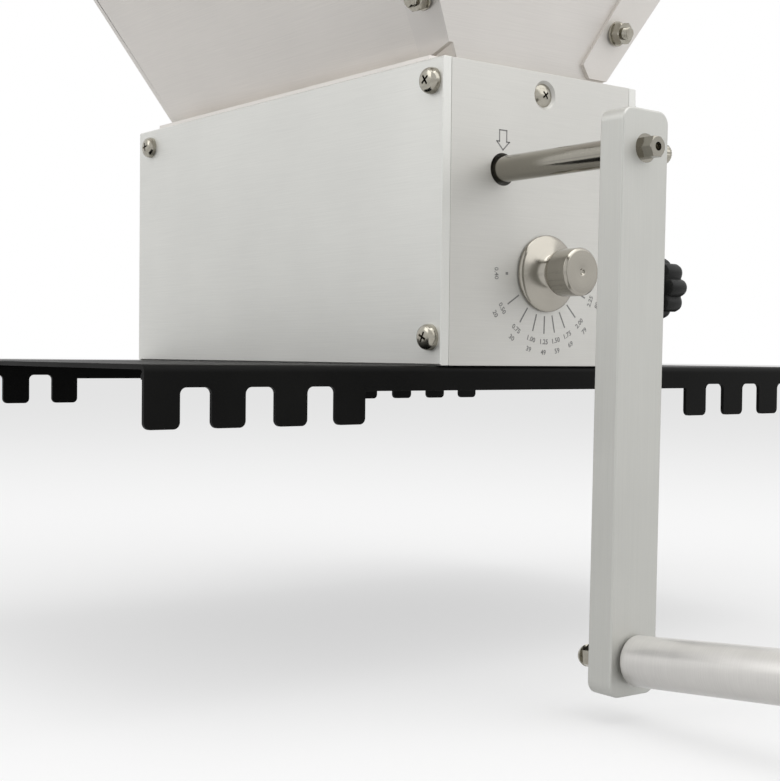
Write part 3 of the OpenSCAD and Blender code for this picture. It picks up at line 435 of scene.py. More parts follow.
CRANK_LEAN, HANDLE_TILT, CRANK_RADIUS, ARM_FACE = math.radians(0.8), math.radians(5.5), 210.5, 231.7
DRIVE_AXIS = node_centre("drive_roller")
KNOB_AXIS = node_centre("adjuster_knob")
ARM_DOWN = Vector((0.0, -math.sin(CRANK_LEAN), -math.cos(CRANK_LEAN)))
ARM_ACROSS = Vector((0.0, math.cos(CRANK_LEAN), -math.sin(CRANK_LEAN)))
HANDLE_AXIS = Vector((math.cos(HANDLE_TILT), 0.0, 0.0)) - ARM_DOWN * math.sin(HANDLE_TILT)
HANDLE_ROOT = Vector((ARM_FACE, DRIVE_AXIS.y, DRIVE_AXIS.z)) + ARM_DOWN * CRANK_RADIUS
DRIVE_CENTRE = tuple(DRIVE_AXIS * MM)
IDLE_CENTRE = tuple(node_centre("idle_roller") * MM)
ADJUSTER_CENTRE = tuple(KNOB_AXIS * MM)

# Covers and end plates are one body aluminium. The covers' colour is painted lighter and the plates' darker, so that
# faces lit by the fill lamp and by the key lamp come out alike: painted light and shade.
PAINTED_LIGHT_COVER_SATIN = BrushedMetal("satin_cover_aluminium_painted_light", (0.74, 0.74, 0.71), 0.5, lines=(30.0, 2400.0, 2400.0))
PAINTED_SHADE_PLATE_SATIN = BrushedMetal("satin_plate_aluminium_painted_shade", (0.63, 0.622, 0.592), 0.5, lines=(2400.0, 40.0, 2400.0))
BAR_SATIN = BrushedMetal("drawn_bar_aluminium", (0.57, 0.57, 0.54), 0.48, lines=(2600.0, 2600.0, 25.0))
# The four hopper sheets are one sheet metal. The front and back sheets' colour is painted lighter and the end sheets'
# darker, to match how each face is lit: painted light and shade.
PAINTED_LIGHT_HOPPER_SIDE_SHEET = BrushedMetal("folded_sheet_aluminium", (0.77, 0.74, 0.704), 0.48, lines=(34.0, 2200.0, 2200.0))
PAINTED_SHADE_HOPPER_END_SHEET = BrushedMetal("folded_end_sheet_aluminium", (0.74, 0.712, 0.68), 0.48, lines=(2200.0, 34.0, 2200.0))
GRIP_SATIN = TurnedMetal("turned_grip_aluminium", (0.69, 0.675, 0.65), 0.34, tuple(HANDLE_ROOT * MM),
                         tuple(HANDLE_AXIS), pitch=2200.0, depth=0.000012, metallic=0.45)
# The shaft steel's colour is darkened to stand in for the dark surroundings that ground steel reflects: painted dark
# reflection.
SHAFT_STEEL_PAINTED_DARK_REFLECTION = TurnedMetal("ground_shaft_steel_painted_dark_reflection", (0.31, 0.295, 0.256), 0.14, DRIVE_CENTRE, pitch=4200.0)
IDLE_STEEL = TurnedMetal("ground_idle_steel", (0.42, 0.405, 0.36), 0.2, IDLE_CENTRE, pitch=4200.0)
# The knob steel's colour is darkened to stand in for the dark surroundings that turned steel reflects: painted dark
# reflection.
KNOB_STEEL_PAINTED_DARK_REFLECTION = TurnedMetal("turned_knob_steel_painted_dark_reflection", (0.37, 0.35, 0.307), 0.2, ADJUSTER_CENTRE, pitch=3000.0)
ROLLER_STEEL = PlatedMetal("knurled_roller_steel", (0.3, 0.295, 0.285), 0.34, (0.2, 0.185, 0.165))
SCREW_STEEL = PlatedMetal("plated_screw_steel", (0.38, 0.362, 0.31), 0.18, (0.27, 0.245, 0.2))
BEARING_STEEL = PlatedMetal("bearing_race_steel", (0.5, 0.5, 0.49), 0.18, (0.4, 0.39, 0.37))
BUSH_BRONZE = PlatedMetal("sintered_bush_bronze", (0.52, 0.33, 0.14), 0.4, (0.36, 0.21, 0.09))
PLATE_BLACK = PowderCoat("powder_coated_black", (0.0045, 0.0045, 0.0042), 0.45)
KNOB_BLACK = MouldedPlastic("moulded_black_plastic", (0.009, 0.0095, 0.009), 0.45)
MARK_GREY = EngravedMark("laser_marked_grey", (0.21, 0.208, 0.204), 0.6)


# ---- Meshes ----


def linked(name: str, mesh: bpy.types.Mesh) -> bpy.types.Object:
    """Puts a mesh in the scene as an object at the origin."""
    made = bpy.data.objects.new(name, mesh)
    bpy.context.scene.collection.objects.link(made)
    return made


def finished(source: bpy.types.Object, name: str, sharp: float = 32.0) -> bpy.types.Object:
    """Applies an object's modifiers and returns a plain, smoothly shaded piece.

    Args:
        source: the object, which is removed.
        name: the new piece's name.
        sharp: degrees past which an edge stays sharp.

    Returns:
        The new piece.
    """
    graph = bpy.context.evaluated_depsgraph_get()
    graph.update()
    mesh = bpy.data.meshes.new_from_object(source.evaluated_get(graph), depsgraph=graph)
    bpy.data.objects.remove(source)
    mesh.name = name
    weighted = mesh.has_custom_normals
    normals = [corner.vector.copy() for corner in mesh.corner_normals] if weighted else []
    for polygon in mesh.polygons:
        polygon.use_smooth = not is_broad(mesh, polygon)
        if weighted and not polygon.use_smooth:
            for corner in polygon.loop_indices:
                normals[corner] = polygon.normal.copy()
    mesh.set_sharp_from_angle(angle=math.radians(sharp))
    if weighted:
        mesh.normals_split_custom_set(normals)
    return linked(name, mesh)


def is_broad(mesh: bpy.types.Mesh, polygon: bpy.types.MeshPolygon) -> bool:
    """Tells a flat face from the narrow facets of a bend or a turned surface."""
    corners = [mesh.vertices[i].co for i in polygon.vertices]
    longest = max((a - b).length for a, b in zip(corners, corners[1:] + corners[:1]))
    return polygon.area > BROAD * longest


def dressed(piece: bpy.types.Object, body: str, finish: Finish, slot: Slot, *nodes: str) -> bpy.types.Object:
    """Gives a piece its finish, its body and the CAD nodes that it stands for.

    Args:
        piece: the piece.
        body: the CAD body that it rides on.
        finish: its surface.
        slot: the record's slot of that surface; not used.
        nodes: CAD nodes that it replaces.

    Returns:
        The piece.
    """
    piece.data.materials.clear()
    piece.data.materials.append(finish.material())
    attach(piece, body)
    if nodes:
        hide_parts(*nodes)
    LOG.info("%s on %s: %d faces", piece.name, body, len(piece.data.polygons))
    return piece


def merged_mesh(node: str) -> bmesh.types.BMesh:
    """A CAD node's mesh with its doubles merged and its flat faces joined.

    Args:
        node: the CAD node.

    Returns:
        The merged mesh, which the caller frees.
    """
    mesh = bmesh.new()
    mesh.from_mesh(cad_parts[node].data)
    bmesh.ops.remove_doubles(mesh, verts=mesh.verts, dist=2e-6)
    bmesh.ops.dissolve_limit(mesh, angle_limit=math.radians(0.2), verts=mesh.verts, edges=mesh.edges,
                             delimit={"NORMAL"})
    return mesh


def box_edges(node: str) -> Callable[[bmesh.types.BMEdge], float]:
    """A weight of 1 on the edges that lie on the edges of a node's box."""
    low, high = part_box(node)

    def on_sides(point: Vector) -> set[tuple[int, int]]:
        """The box sides that a point lies on."""
        return {(axis, side) for axis in range(3) for side, level in enumerate((low[axis], high[axis]))
                if abs(point[axis] - level) < 2e-6}

    def weight(edge: bmesh.types.BMEdge) -> float:
        """1 where both ends share two of the box's sides."""
        return 1.0 if len(on_sides(edge.verts[0].co) & on_sides(edge.verts[1].co)) >= 2 else 0.0

    return weight


def broken(node: str, name: str, weight: Callable[[bmesh.types.BMEdge], float], width: float,
           segments: int = 3, sharp: float = 32.0) -> bpy.types.Object:
    """A copy of a CAD node with chosen edges rounded.

    Args:
        node: the CAD node.
        name: the new piece's name.
        weight: gives each edge its share of the width.
        width: width of the rounding in millimetres.
        segments: facets across the rounding.
        sharp: degrees past which an edge stays sharp.

    Returns:
        The new piece.
    """
    mesh = merged_mesh(node)
    layer = mesh.edges.layers.float.new("bevel_weight_edge")
    for edge in mesh.edges:
        edge[layer] = weight(edge)
    data = bpy.data.meshes.new(name)
    mesh.to_mesh(data)
    mesh.free()
    source = linked(name + "_source", data)
    bevel = source.modifiers.new("edges", "BEVEL")
    bevel.width = width * MM
    bevel.segments = segments
    bevel.limit_method = "WEIGHT"
    bevel.use_clamp_overlap = True
    source.modifiers.new("normals", "WEIGHTED_NORMAL").keep_sharp = True
    return finished(source, name, sharp)


def islands(node: str) -> list[list[Vector]]:
    """The corner points of each separate solid of a CAD node.

    Args:
        node: the CAD node.

    Returns:
        One list of points for each solid.
    """
    mesh = merged_mesh(node)
    left = set(mesh.verts)
    found = []
    while left:
        stack = [left.pop()]
        solid = []
        while stack:
            vert = stack.pop()
            solid.append(vert.co.copy())
            for edge in vert.link_edges:
                other = edge.other_vert(vert)
                if other in left:
                    left.remove(other)
                    stack.append(other)
        found.append(solid)
    mesh.free()
    return found


def centre_of(points: Sequence[Vector]) -> Vector:
    """The middle of the box round some points."""
    return Vector([(min(p[i] for p in points) + max(p[i] for p in points)) / 2 for i in range(3)])


def softened(profile: Sequence[tuple[float, float]], radius: float, steps: int = 4) -> list[tuple[float, float]]:
    """A profile with its inner corners rounded.

    Args:
        profile: points as distance and radius.
        radius: how far the rounding reaches along each side, at most.
        steps: facets of each rounding.

    Returns:
        The rounded profile.
    """
    points = [Vector(p) for p in profile]
    rounded = [tuple(points[0])]
    for before, corner, after in zip(points, points[1:], points[2:]):
        one, two = before - corner, after - corner
        reach = min(radius, one.length * 0.45, two.length * 0.45)
        start, end = corner + one.normalized() * reach, corner + two.normalized() * reach
        for step in range(steps + 1):
            share = step / steps
            rounded.append(tuple(start.lerp(corner, share).lerp(corner.lerp(end, share), share)))
    rounded.append(tuple(points[-1]))
    return rounded


def spun(name: str, profile: Sequence[tuple[float, float]], origin: Sequence[float], axis: Sequence[float],
         segments: int = 96, sharp: float = 32.0) -> bpy.types.Object:
    """A turned piece.

    Args:
        name: the piece's name.
        profile: closed outline as distance along the axis and radius, in millimetres.
        origin: the profile's origin in millimetres.
        axis: direction of the axis.
        segments: facets round the axis.
        sharp: degrees past which an edge stays sharp.

    Returns:
        The piece.
    """
    turn = Vector(axis).to_track_quat("Z", "Y").to_matrix()
    mesh = bmesh.new()
    rings = []
    for along, radius in profile:
        count = 1 if radius < 1e-6 else segments
        rings.append([mesh.verts.new((turn @ Vector((
            radius * math.cos(math.tau * i / segments), radius * math.sin(math.tau * i / segments), along))
            + Vector(origin)) * MM) for i in range(count)])
    closed = len(rings[0]) > 1
    pairs = list(zip(rings, rings[1:] + ([rings[0]] if closed else [])))
    for first, second in pairs:
        for i in range(segments):
            a, b = first[i % len(first)], first[(i + 1) % len(first)]
            c, d = second[(i + 1) % len(second)], second[i % len(second)]
            corners = list(dict.fromkeys((a, b, c, d)))
            if len(corners) > 2:
                mesh.faces.new(corners)
    bmesh.ops.recalc_face_normals(mesh, faces=mesh.faces)
    data = bpy.data.meshes.new(name)
    mesh.to_mesh(data)
    mesh.free()
    return finished(linked(name + "_source", data), name, sharp)


# ---- Repeats made by Geometry Nodes ----


@dataclass(frozen=True)
class Place:
    """Where one copy stands: its origin in metres, the way it points, and its turn in degrees."""

    origin: Vector
    aim: Vector
    turn: float = 0.0

    def angles(self) -> tuple[float, float, float]:
        """Euler angles that point Z along the aim."""
        spin = Matrix.Rotation(math.radians(self.turn), 3, "Z")
        return tuple((self.aim.to_track_quat("Z", "Y").to_matrix() @ spin).to_euler())


class Repeat:
    """A shape that a Geometry Nodes tree sets out on a list of places.

    Z points out of the surface that a copy stands on.
    """

    label = "repeat"

    def __init__(self, finish: Finish, **sizes: float) -> None:
        """Keeps the finish and the sizes, in millimetres or counts."""
        self.finish = finish
        self.sizes = sizes

    def shape(self, book: Book, size: dict[str, Term]) -> Term:
        """Adds the nodes of one copy and returns its geometry."""
        raise NotImplementedError

    def tree(self) -> bpy.types.NodeTree:
        """Builds the tree with one named input for each size."""
        tree = bpy.data.node_groups.new(self.label, "GeometryNodeTree")
        tree.interface.new_socket("Places", in_out="INPUT", socket_type="NodeSocketGeometry")
        for name, value in self.sizes.items():
            kind = "NodeSocketInt" if isinstance(value, int) else "NodeSocketFloat"
            tree.interface.new_socket(name, in_out="INPUT", socket_type=kind)
        tree.interface.new_socket("Result", in_out="OUTPUT", socket_type="NodeSocketGeometry")
        book = Book(tree)
        entry = tree.nodes.new("NodeGroupInput")
        size = {name: Term(book, entry.outputs[name]) for name in self.sizes}
        turn = book.add("GeometryNodeInputNamedAttribute", {"data_type": "FLOAT_VECTOR"}, {"Name": "turn"})
        copies = book.add("GeometryNodeInstanceOnPoints", None, {
            "Points": Term(book, entry.outputs[0]), "Instance": self.shape(book, size),
            "Rotation": book.add("FunctionNodeEulerToRotation", None, {0: turn})})
        solid = book.add("GeometryNodeRealizeInstances", None, {0: copies})
        coated = book.add("GeometryNodeSetMaterial", None, {0: solid, "Material": self.finish.material()})
        book.add("NodeGroupOutput", None, {0: coated})
        return tree

    def set_out(self, name: str, places: Sequence[Place], sharp: float = 32.0) -> bpy.types.Object:
        """Grows the copies and turns them into one plain mesh.

        Args:
            name: the piece's name.
            places: where the copies stand.
            sharp: degrees past which an edge stays sharp.

        Returns:
            The piece.
        """
        data = bpy.data.meshes.new(name)
        data.from_pydata([tuple(p.origin) for p in places], [], [])
        turn = data.attributes.new("turn", "FLOAT_VECTOR", "POINT")
        turn.data.foreach_set("vector", [angle for p in places for angle in p.angles()])
        source = linked(name + "_source", data)
        modifier = source.modifiers.new(self.label, "NODES")
        tree = self.tree()
        modifier.node_group = tree
        for item in tree.interface.items_tree:
            if item.item_type == "SOCKET" and item.name in self.sizes:
                value = self.sizes[item.name]
                modifier[item.identifier] = value if isinstance(value, int) else value * MM
        piece = finished(source, name, sharp)
        for attribute in [a for a in piece.data.attributes if a.name == "turn"]:
            piece.data.attributes.remove(attribute)
        bpy.data.node_groups.remove(tree)
        return piece

    @staticmethod
    def drum(book: Book, radius: Number, depth: Number, low: Number, sides: int, rings: int = 1,
             fills: int = 1) -> Term:
        """A cylinder on Z whose bottom is at low.

        Args:
            book: the tree.
            radius: its radius.
            depth: its height.
            low: the height of its bottom.
            sides: facets round it.
            rings: facets along it.
            fills: rings on its end faces.

        Returns:
            The mesh.
        """
        made = book.add("GeometryNodeMeshCylinder", {"fill_type": "NGON" if fills == 1 else "TRIANGLE_FAN"}, {
            "Vertices": sides, "Side Segments": rings, "Fill Segments": fills, "Radius": radius, "Depth": depth})
        lift = book.joined(0.0, 0.0, book.math("MULTIPLY", depth, 0.5) + low)
        return book.add("GeometryNodeTransform", None, {"Geometry": made, "Translation": lift})

    @staticmethod
    def moved(book: Book, mesh: Term, rule: Callable[[Term, Term, Term, Term], tuple[Number, Number, Number]]) -> Term:
        """Moves a mesh's points by a rule of x, y, z and the radius."""
        x, y, z = book.parts(book.add("GeometryNodeInputPosition"))
        radius = (x * x + y * y).math("SQRT")
        to = book.joined(*rule(x, y, z, radius))
        return book.add("GeometryNodeSetPosition", None, {"Geometry": mesh, "Position": to})

    @staticmethod
    def cut(book: Book, mesh: Term, *tools: Term) -> Term:
        """The mesh with the tools taken out of it, one after the other."""
        for tool in tools:
            mesh = book.add("GeometryNodeMeshBoolean", {"operation": "DIFFERENCE", "solver": "EXACT"},
                            {"Mesh 1": mesh, "Mesh 2": tool})
        return mesh

    @staticmethod
    def together(book: Book, *meshes: Term) -> Term:
        """The meshes as one geometry."""
        return book.add("GeometryNodeJoinGeometry", None, {0: list(meshes)})

    def cross(self, book: Book, span: Number, top: Number, depth: Number) -> tuple[Term, Term]:
        """The two tapered blades that cut a cross recess.

        Args:
            book: the tree.
            span: the recess's width.
            top: the height of the head's top.
            depth: how deep it goes.

        Returns:
            The two blades.
        """
        blades = []
        for across in (False, True):
            long, thin = span, book.math("MULTIPLY", span, 0.2)
            size = book.joined(thin, long, 1.0) if across else book.joined(long, thin, 1.0)
            block = book.add("GeometryNodeMeshCube", None, {"Size": size})
            tall = book.math("MULTIPLY", depth, 2.0)

            def rule(x: Term, y: Term, z: Term, radius: Term) -> tuple[Number, Number, Number]:
                """Narrows the blade downwards."""
                taper = z * 0.45 + 0.775
                return x * taper, y * taper, z * tall + top

            blades.append(self.moved(book, block, rule))
        return tuple(blades)


class PanScrew(Repeat):
    """Pan-head screw with a cross recess."""

    label = "pan_head_screw"

    def shape(self, book: Book, size: dict[str, Term]) -> Term:
        """Head with rounded sides, cross recess and shank."""
        radius, height = size["Head Diameter"] / 2.0, size["Head Height"]
        head = self.drum(book, radius, height, 0.0, 40, 5, 5)

        def rounding(x: Term, y: Term, z: Term, reach: Term) -> tuple[Number, Number, Number]:
            """Draws the side in towards the top and domes the top."""
            up, out = (z / height).clamped(), (reach / radius).clamped()
            narrow = 1.0 - 0.16 * up ** 3.0
            return x * narrow, y * narrow, z * (1.0 - 0.2 * out ** 4.0)

        head = self.moved(book, head, rounding)
        head = self.cut(book, head, *self.cross(book, size["Head Diameter"] * 0.56, height, height * 0.5))
        shank = self.drum(book, size["Thread Diameter"] / 2.0, size["Length"], size["Length"] * -1.0, 24)
        return self.together(book, head, shank)


class RaisedScrew(Repeat):
    """Countersunk screw with a raised head and a cross recess."""

    label = "raised_countersunk_screw"

    def shape(self, book: Book, size: dict[str, Term]) -> Term:
        """Cone, low dome, cross recess and shank."""
        radius, thread = size["Head Diameter"] / 2.0, size["Thread Diameter"] / 2.0
        sink, rise = radius - thread, size["Rise"]
        head = self.drum(book, radius, sink + rise, sink * -1.0, 40, 1, 6)

        def cone(x: Term, y: Term, z: Term, reach: Term) -> tuple[Number, Number, Number]:
            """Narrows the foot to the thread and domes the top."""
            share = ((z + sink) / sink).clamped()
            narrow = (thread + (radius - thread) * share) / radius
            out = (reach / radius).clamped()
            high = z.math("MAXIMUM", 0.0) * (1.0 - out * out)
            return x * narrow, y * narrow, z.math("MINIMUM", 0.0) + high

        head = self.moved(book, head, cone)
        head = self.cut(book, head, *self.cross(book, radius, rise, radius * 0.42))
        shank = self.drum(book, thread, size["Length"] - sink, size["Length"] * -1.0, 24)
        return self.together(book, head, shank)


class ButtonScrew(Repeat):
    """Button-head screw with a hexagon socket."""

    label = "button_head_screw"

    def shape(self, book: Book, size: dict[str, Term]) -> Term:
        """Domed head, hexagon socket and shank."""
        radius, height = size["Head Diameter"] / 2.0, size["Head Height"]
        head = self.drum(book, radius, height, 0.0, 40, 1, 8)

        def dome(x: Term, y: Term, z: Term, reach: Term) -> tuple[Number, Number, Number]:
            """Rounds the head down to a low rim."""
            out = (reach / radius).clamped()
            return x, y, z * (0.12 + 0.88 * (1.0 - out * out * 0.999).math("POWER", 0.6))

        head = self.moved(book, head, dome)
        socket = self.drum(book, size["Thread Diameter"] * 0.36, height, height * 0.42, 6)
        shank = self.drum(book, size["Thread Diameter"] / 2.0, size["Length"], size["Length"] * -1.0, 24)
        return self.together(book, self.cut(book, head, socket), shank)


class CapScrew(Repeat):
    """Cap screw with a straight-knurled head and a hexagon socket."""

    label = "cap_screw"

    def shape(self, book: Book, size: dict[str, Term]) -> Term:
        """Knurled head on a plain neck."""
        radius, height, neck = size["Head Diameter"] / 2.0, size["Head Height"], size["Neck"]
        head = self.drum(book, radius, height, neck, 48, 6)
        spot = book.add("GeometryNodeInputIndex")

        def knurl(x: Term, y: Term, z: Term, reach: Term) -> tuple[Number, Number, Number]:
            """Alternate points in and out, and both rims turned in."""
            edge = ((z - neck) / height * 2.0 - 1.0).math("ABSOLUTE")
            narrow = 1.0 - 0.035 * (spot % 2.0) - 0.07 * edge ** 10.0
            return x * narrow, y * narrow, z

        head = self.moved(book, head, knurl)
        socket = self.drum(book, size["Thread Diameter"] * 0.46, height, neck + height * 0.45, 6)
        shank = self.drum(book, size["Thread Diameter"] / 2.0, neck + size["Length"], size["Length"] * -1.0, 32)
        return self.together(book, self.cut(book, head, socket), shank)


class HexNut(Repeat):
    """Hexagon nut with both faces chamfered."""

    label = "hexagon_nut"

    def shape(self, book: Book, size: dict[str, Term]) -> Term:
        """A drum drawn to a hexagon, chamfered and bored."""
        half, height = size["Across Flats"] / 2.0, size["Height"]
        body = self.drum(book, half, height, 0.0, 48, 8)

        def hexagon(x: Term, y: Term, z: Term, reach: Term) -> tuple[Number, Number, Number]:
            """Pushes each point out to the hexagon or the chamfer."""
            angle = book.math("ARCTAN2", y, x) % (math.pi / 3)
            corner = 1.0 / (angle - math.pi / 6).math("COSINE")
            rim = (z / height).math("MINIMUM", 1.0 - z / height)
            wide = corner.math("MINIMUM", 1.01 + rim * 1.1)
            return x * wide, y * wide, z

        body = self.moved(book, body, hexagon)
        bore = self.drum(book, size["Thread Diameter"] / 2.0, height * 2.0, height * -0.5, 24)
        return self.cut(book, body, bore)


class FlatWasher(Repeat):
    """Plain washer with a rolled outer edge."""

    label = "flat_washer"

    def shape(self, book: Book, size: dict[str, Term]) -> Term:
        """A bored disc."""
        radius, height = size["Diameter"] / 2.0, size["Height"]
        disc = self.drum(book, radius, height, 0.0, 48, 4)

        def rolled(x: Term, y: Term, z: Term, reach: Term) -> tuple[Number, Number, Number]:
            """Turns both rims in a little."""
            edge = (z / height * 2.0 - 1.0).math("ABSOLUTE")
            narrow = 1.0 - 0.03 * edge ** 4.0
            return x * narrow, y * narrow, z

        bore = self.drum(book, size["Bore"] / 2.0, height * 2.0, height * -0.5, 32)
        return self.cut(book, self.moved(book, disc, rolled), bore)


class Thread(Repeat):
    """Threaded rod that runs down from its chamfered end."""

    label = "threaded_rod"

    def shape(self, book: Book, size: dict[str, Term]) -> Term:
        """A drum whose radius follows a helix."""
        radius, length, pitch = size["Diameter"] / 2.0, size["Length"], size["Pitch"]
        rod = self.drum(book, radius, length, length * -1.0, 24, int(self.sizes["Length"] / self.sizes["Pitch"] * 6))

        def helix(x: Term, y: Term, z: Term, reach: Term) -> tuple[Number, Number, Number]:
            """Cuts a groove that climbs one pitch a turn."""
            phase = (z / pitch + book.math("ARCTAN2", y, x) / math.tau) % 1.0
            groove = 1.0 - (phase * 2.0 - 1.0).math("ABSOLUTE")
            tip = (1.0 + z / pitch * 1.2).clamped()
            narrow = 1.0 - (groove * pitch * 0.5 + tip * pitch * 0.35) / radius
            return x * narrow, y * narrow, z

        return self.moved(book, rod, helix)


class Stroke(Repeat):
    """A thin marked line that starts at its origin and runs along X."""

    label = "marked_stroke"

    def shape(self, book: Book, size: dict[str, Term]) -> Term:
        """A flat bar."""
        block = book.add("GeometryNodeMeshCube", None, {
            "Size": book.joined(size["Length"], size["Width"], size["Height"])})
        lift = book.joined(size["Length"] / 2.0, 0.0, 0.0)
        return book.add("GeometryNodeTransform", None, {"Geometry": block, "Translation": lift})


class KnurledDrum(Repeat):
    """A roller's knurled skin: peaks and hollows that alternate like a chessboard."""

    label = "knurled_drum"

    def shape(self, book: Book, size: dict[str, Term]) -> Term:
        """A drum whose side points go in and out by turns."""
        around, along = self.sizes["Around"], self.sizes["Along"]
        made = book.add("GeometryNodeMeshCylinder", {"fill_type": "NONE"}, {
            "Vertices": around, "Side Segments": along, "Radius": size["Diameter"] / 2.0, "Depth": size["Length"]})
        spot = book.add("GeometryNodeInputIndex")
        row = (spot / float(around)).math("FLOOR")
        odd = (spot % float(around) + row) % 2.0
        ends = (row.math("LESS_THAN", 0.5) + row.math("GREATER_THAN", along - 0.5)).clamped()
        depth = size["Depth"] * (odd * (1.0 - ends) + ends * 0.9)

        def knurl(x: Term, y: Term, z: Term, reach: Term) -> tuple[Number, Number, Number]:
            """Sinks the hollows."""
            narrow = 1.0 - depth / (size["Diameter"] / 2.0)
            return x * narrow, y * narrow, z

        return self.moved(book, made, knurl)


# ---- Sub-assemblies ----


@dataclass
class Body:
    """Plates, covers and screws of the mill's box."""

    edge: float = 0.45
    cover_screw: tuple[float, float] = (12.0, 4.6)
    frame_screw: float = 11.0
    sink: float = 1.3

    def build(self) -> None:
        """Makes the plates and sets out their screws."""
        # The covers take the lighter, painted-light tone and the plates the darker, painted-shade tone.
        for node, name, finish in (
                ("end_plate_right", "crank_side_plate", PAINTED_SHADE_PLATE_SATIN),
                ("end_plate_left", "bearing_side_plate", PAINTED_SHADE_PLATE_SATIN),
                ("end_cover_left", "bearing_side_cover", PAINTED_SHADE_PLATE_SATIN),
                ("front_cover", "front_cover_panel", PAINTED_LIGHT_COVER_SATIN),
                ("back_cover", "back_cover_panel", PAINTED_LIGHT_COVER_SATIN)):
            piece = broken(node, name, box_edges(node), self.edge)
            dressed(piece, "frame", finish, Slot.BODY, node)
        self._cover_screws()
        self._frame_screws()
        for node in ("top_frame", "grain_guides"):
            recoated(node, PAINTED_LIGHT_COVER_SATIN)
        recoated("guide_screws", SCREW_STEEL)
        recoated("bearing_outer_rings", BEARING_STEEL)
        recoated("bearing_balls", BEARING_STEEL)
        recoated("adjuster_bushes", BUSH_BRONZE)

    def _cover_screws(self) -> None:
        """Pan-head screws of the two long covers."""
        wide, high = self.cover_screw
        screw = PanScrew(SCREW_STEEL, **{"Head Diameter": wide, "Head Height": high,
                                         "Thread Diameter": 6.0, "Length": 18.0})
        turns = (12.0, 64.0, 35.0, 80.0)
        for node, cover, way in (("front_cover_screws", "front_cover", Way.FRONT),
                                 ("back_cover_screws", "back_cover", Way.BACK)):
            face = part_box(cover)[0 if way is Way.FRONT else 1].y
            spots = sorted(tuple(centre_of(points)) for points in islands(node))
            places = [Place(Vector((x, face, z)), way.vector, turns[i]) for i, (x, _, z) in enumerate(spots)]
            dressed(screw.set_out(node.replace("_cover_screws", "_panel_screws"), places),
                    "frame", SCREW_STEEL, Slot.SCREW, node)

    def _frame_screws(self) -> None:
        """Countersunk screws of the end plates and the left cover, and the button heads below."""
        right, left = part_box("end_plate_right")[1].x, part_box("end_plate_left")[0].x
        height = (148.7 - 10.4) * MM
        raised = RaisedScrew(SCREW_STEEL, **{"Head Diameter": self.frame_screw, "Thread Diameter": 6.0,
                                             "Rise": 2.0, "Length": 24.0})
        dressed(raised.set_out("crank_side_screw", [
            Place(Vector((right - self.sink * MM, 0, height)), Way.RIGHT.vector, 40.0)]),
            "frame", SCREW_STEEL, Slot.SCREW, "end_plate_screws")
        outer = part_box("end_cover_left")[0].x
        flat = RaisedScrew(SCREW_STEEL, **{"Head Diameter": 12.0, "Thread Diameter": 6.0,
                                           "Rise": 0.4, "Length": 16.0})
        spots = [centre_of(points) for points in islands("end_cover_screws")]
        dressed(flat.set_out("bearing_side_screws", [
            Place(Vector((outer, p.y, p.z)), Way.LEFT.vector, 17.0 * i) for i, p in enumerate(spots)]),
            "frame", SCREW_STEEL, Slot.SCREW, "end_cover_screws")
        button = ButtonScrew(SCREW_STEEL, **{"Head Diameter": 12.0, "Head Height": 3.3,
                                             "Thread Diameter": 6.0, "Length": 14.0})
        base = (11.1 - 2.0) * MM
        spots = [centre_of(points) for points in islands("base_screws")]
        dressed(button.set_out("plate_screws", [
            Place(Vector((p.x, p.y, base)), Way.DOWN.vector, 23.0 * i) for i, p in enumerate(spots)]),
            "frame", SCREW_STEEL, Slot.SCREW, "base_screws")


def recoated(node: str, finish: Finish) -> None:
    """Gives a CAD node that stays its finish."""
    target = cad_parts[node]
    target.data.materials.clear()
    target.data.materials.append(finish.material())
    LOG.info("%s keeps its shape", node)


@dataclass
class BasePlate:
    """The folded black plate with comb-like flanges."""

    edge: float = 0.4

    def build(self) -> None:
        """Rounds the plate's cut edges."""
        def weight(edge: bmesh.types.BMEdge) -> float:
            """1 on the sheet's sharp cut edges."""
            return 1.0 if len(edge.link_faces) == 2 and edge.calc_face_angle(0.0) > math.radians(50) else 0.0

        piece = broken("base_plate", "folded_base_plate", weight, self.edge, 2)
        dressed(piece, "frame", PLATE_BLACK, Slot.PLATE, "base_plate")


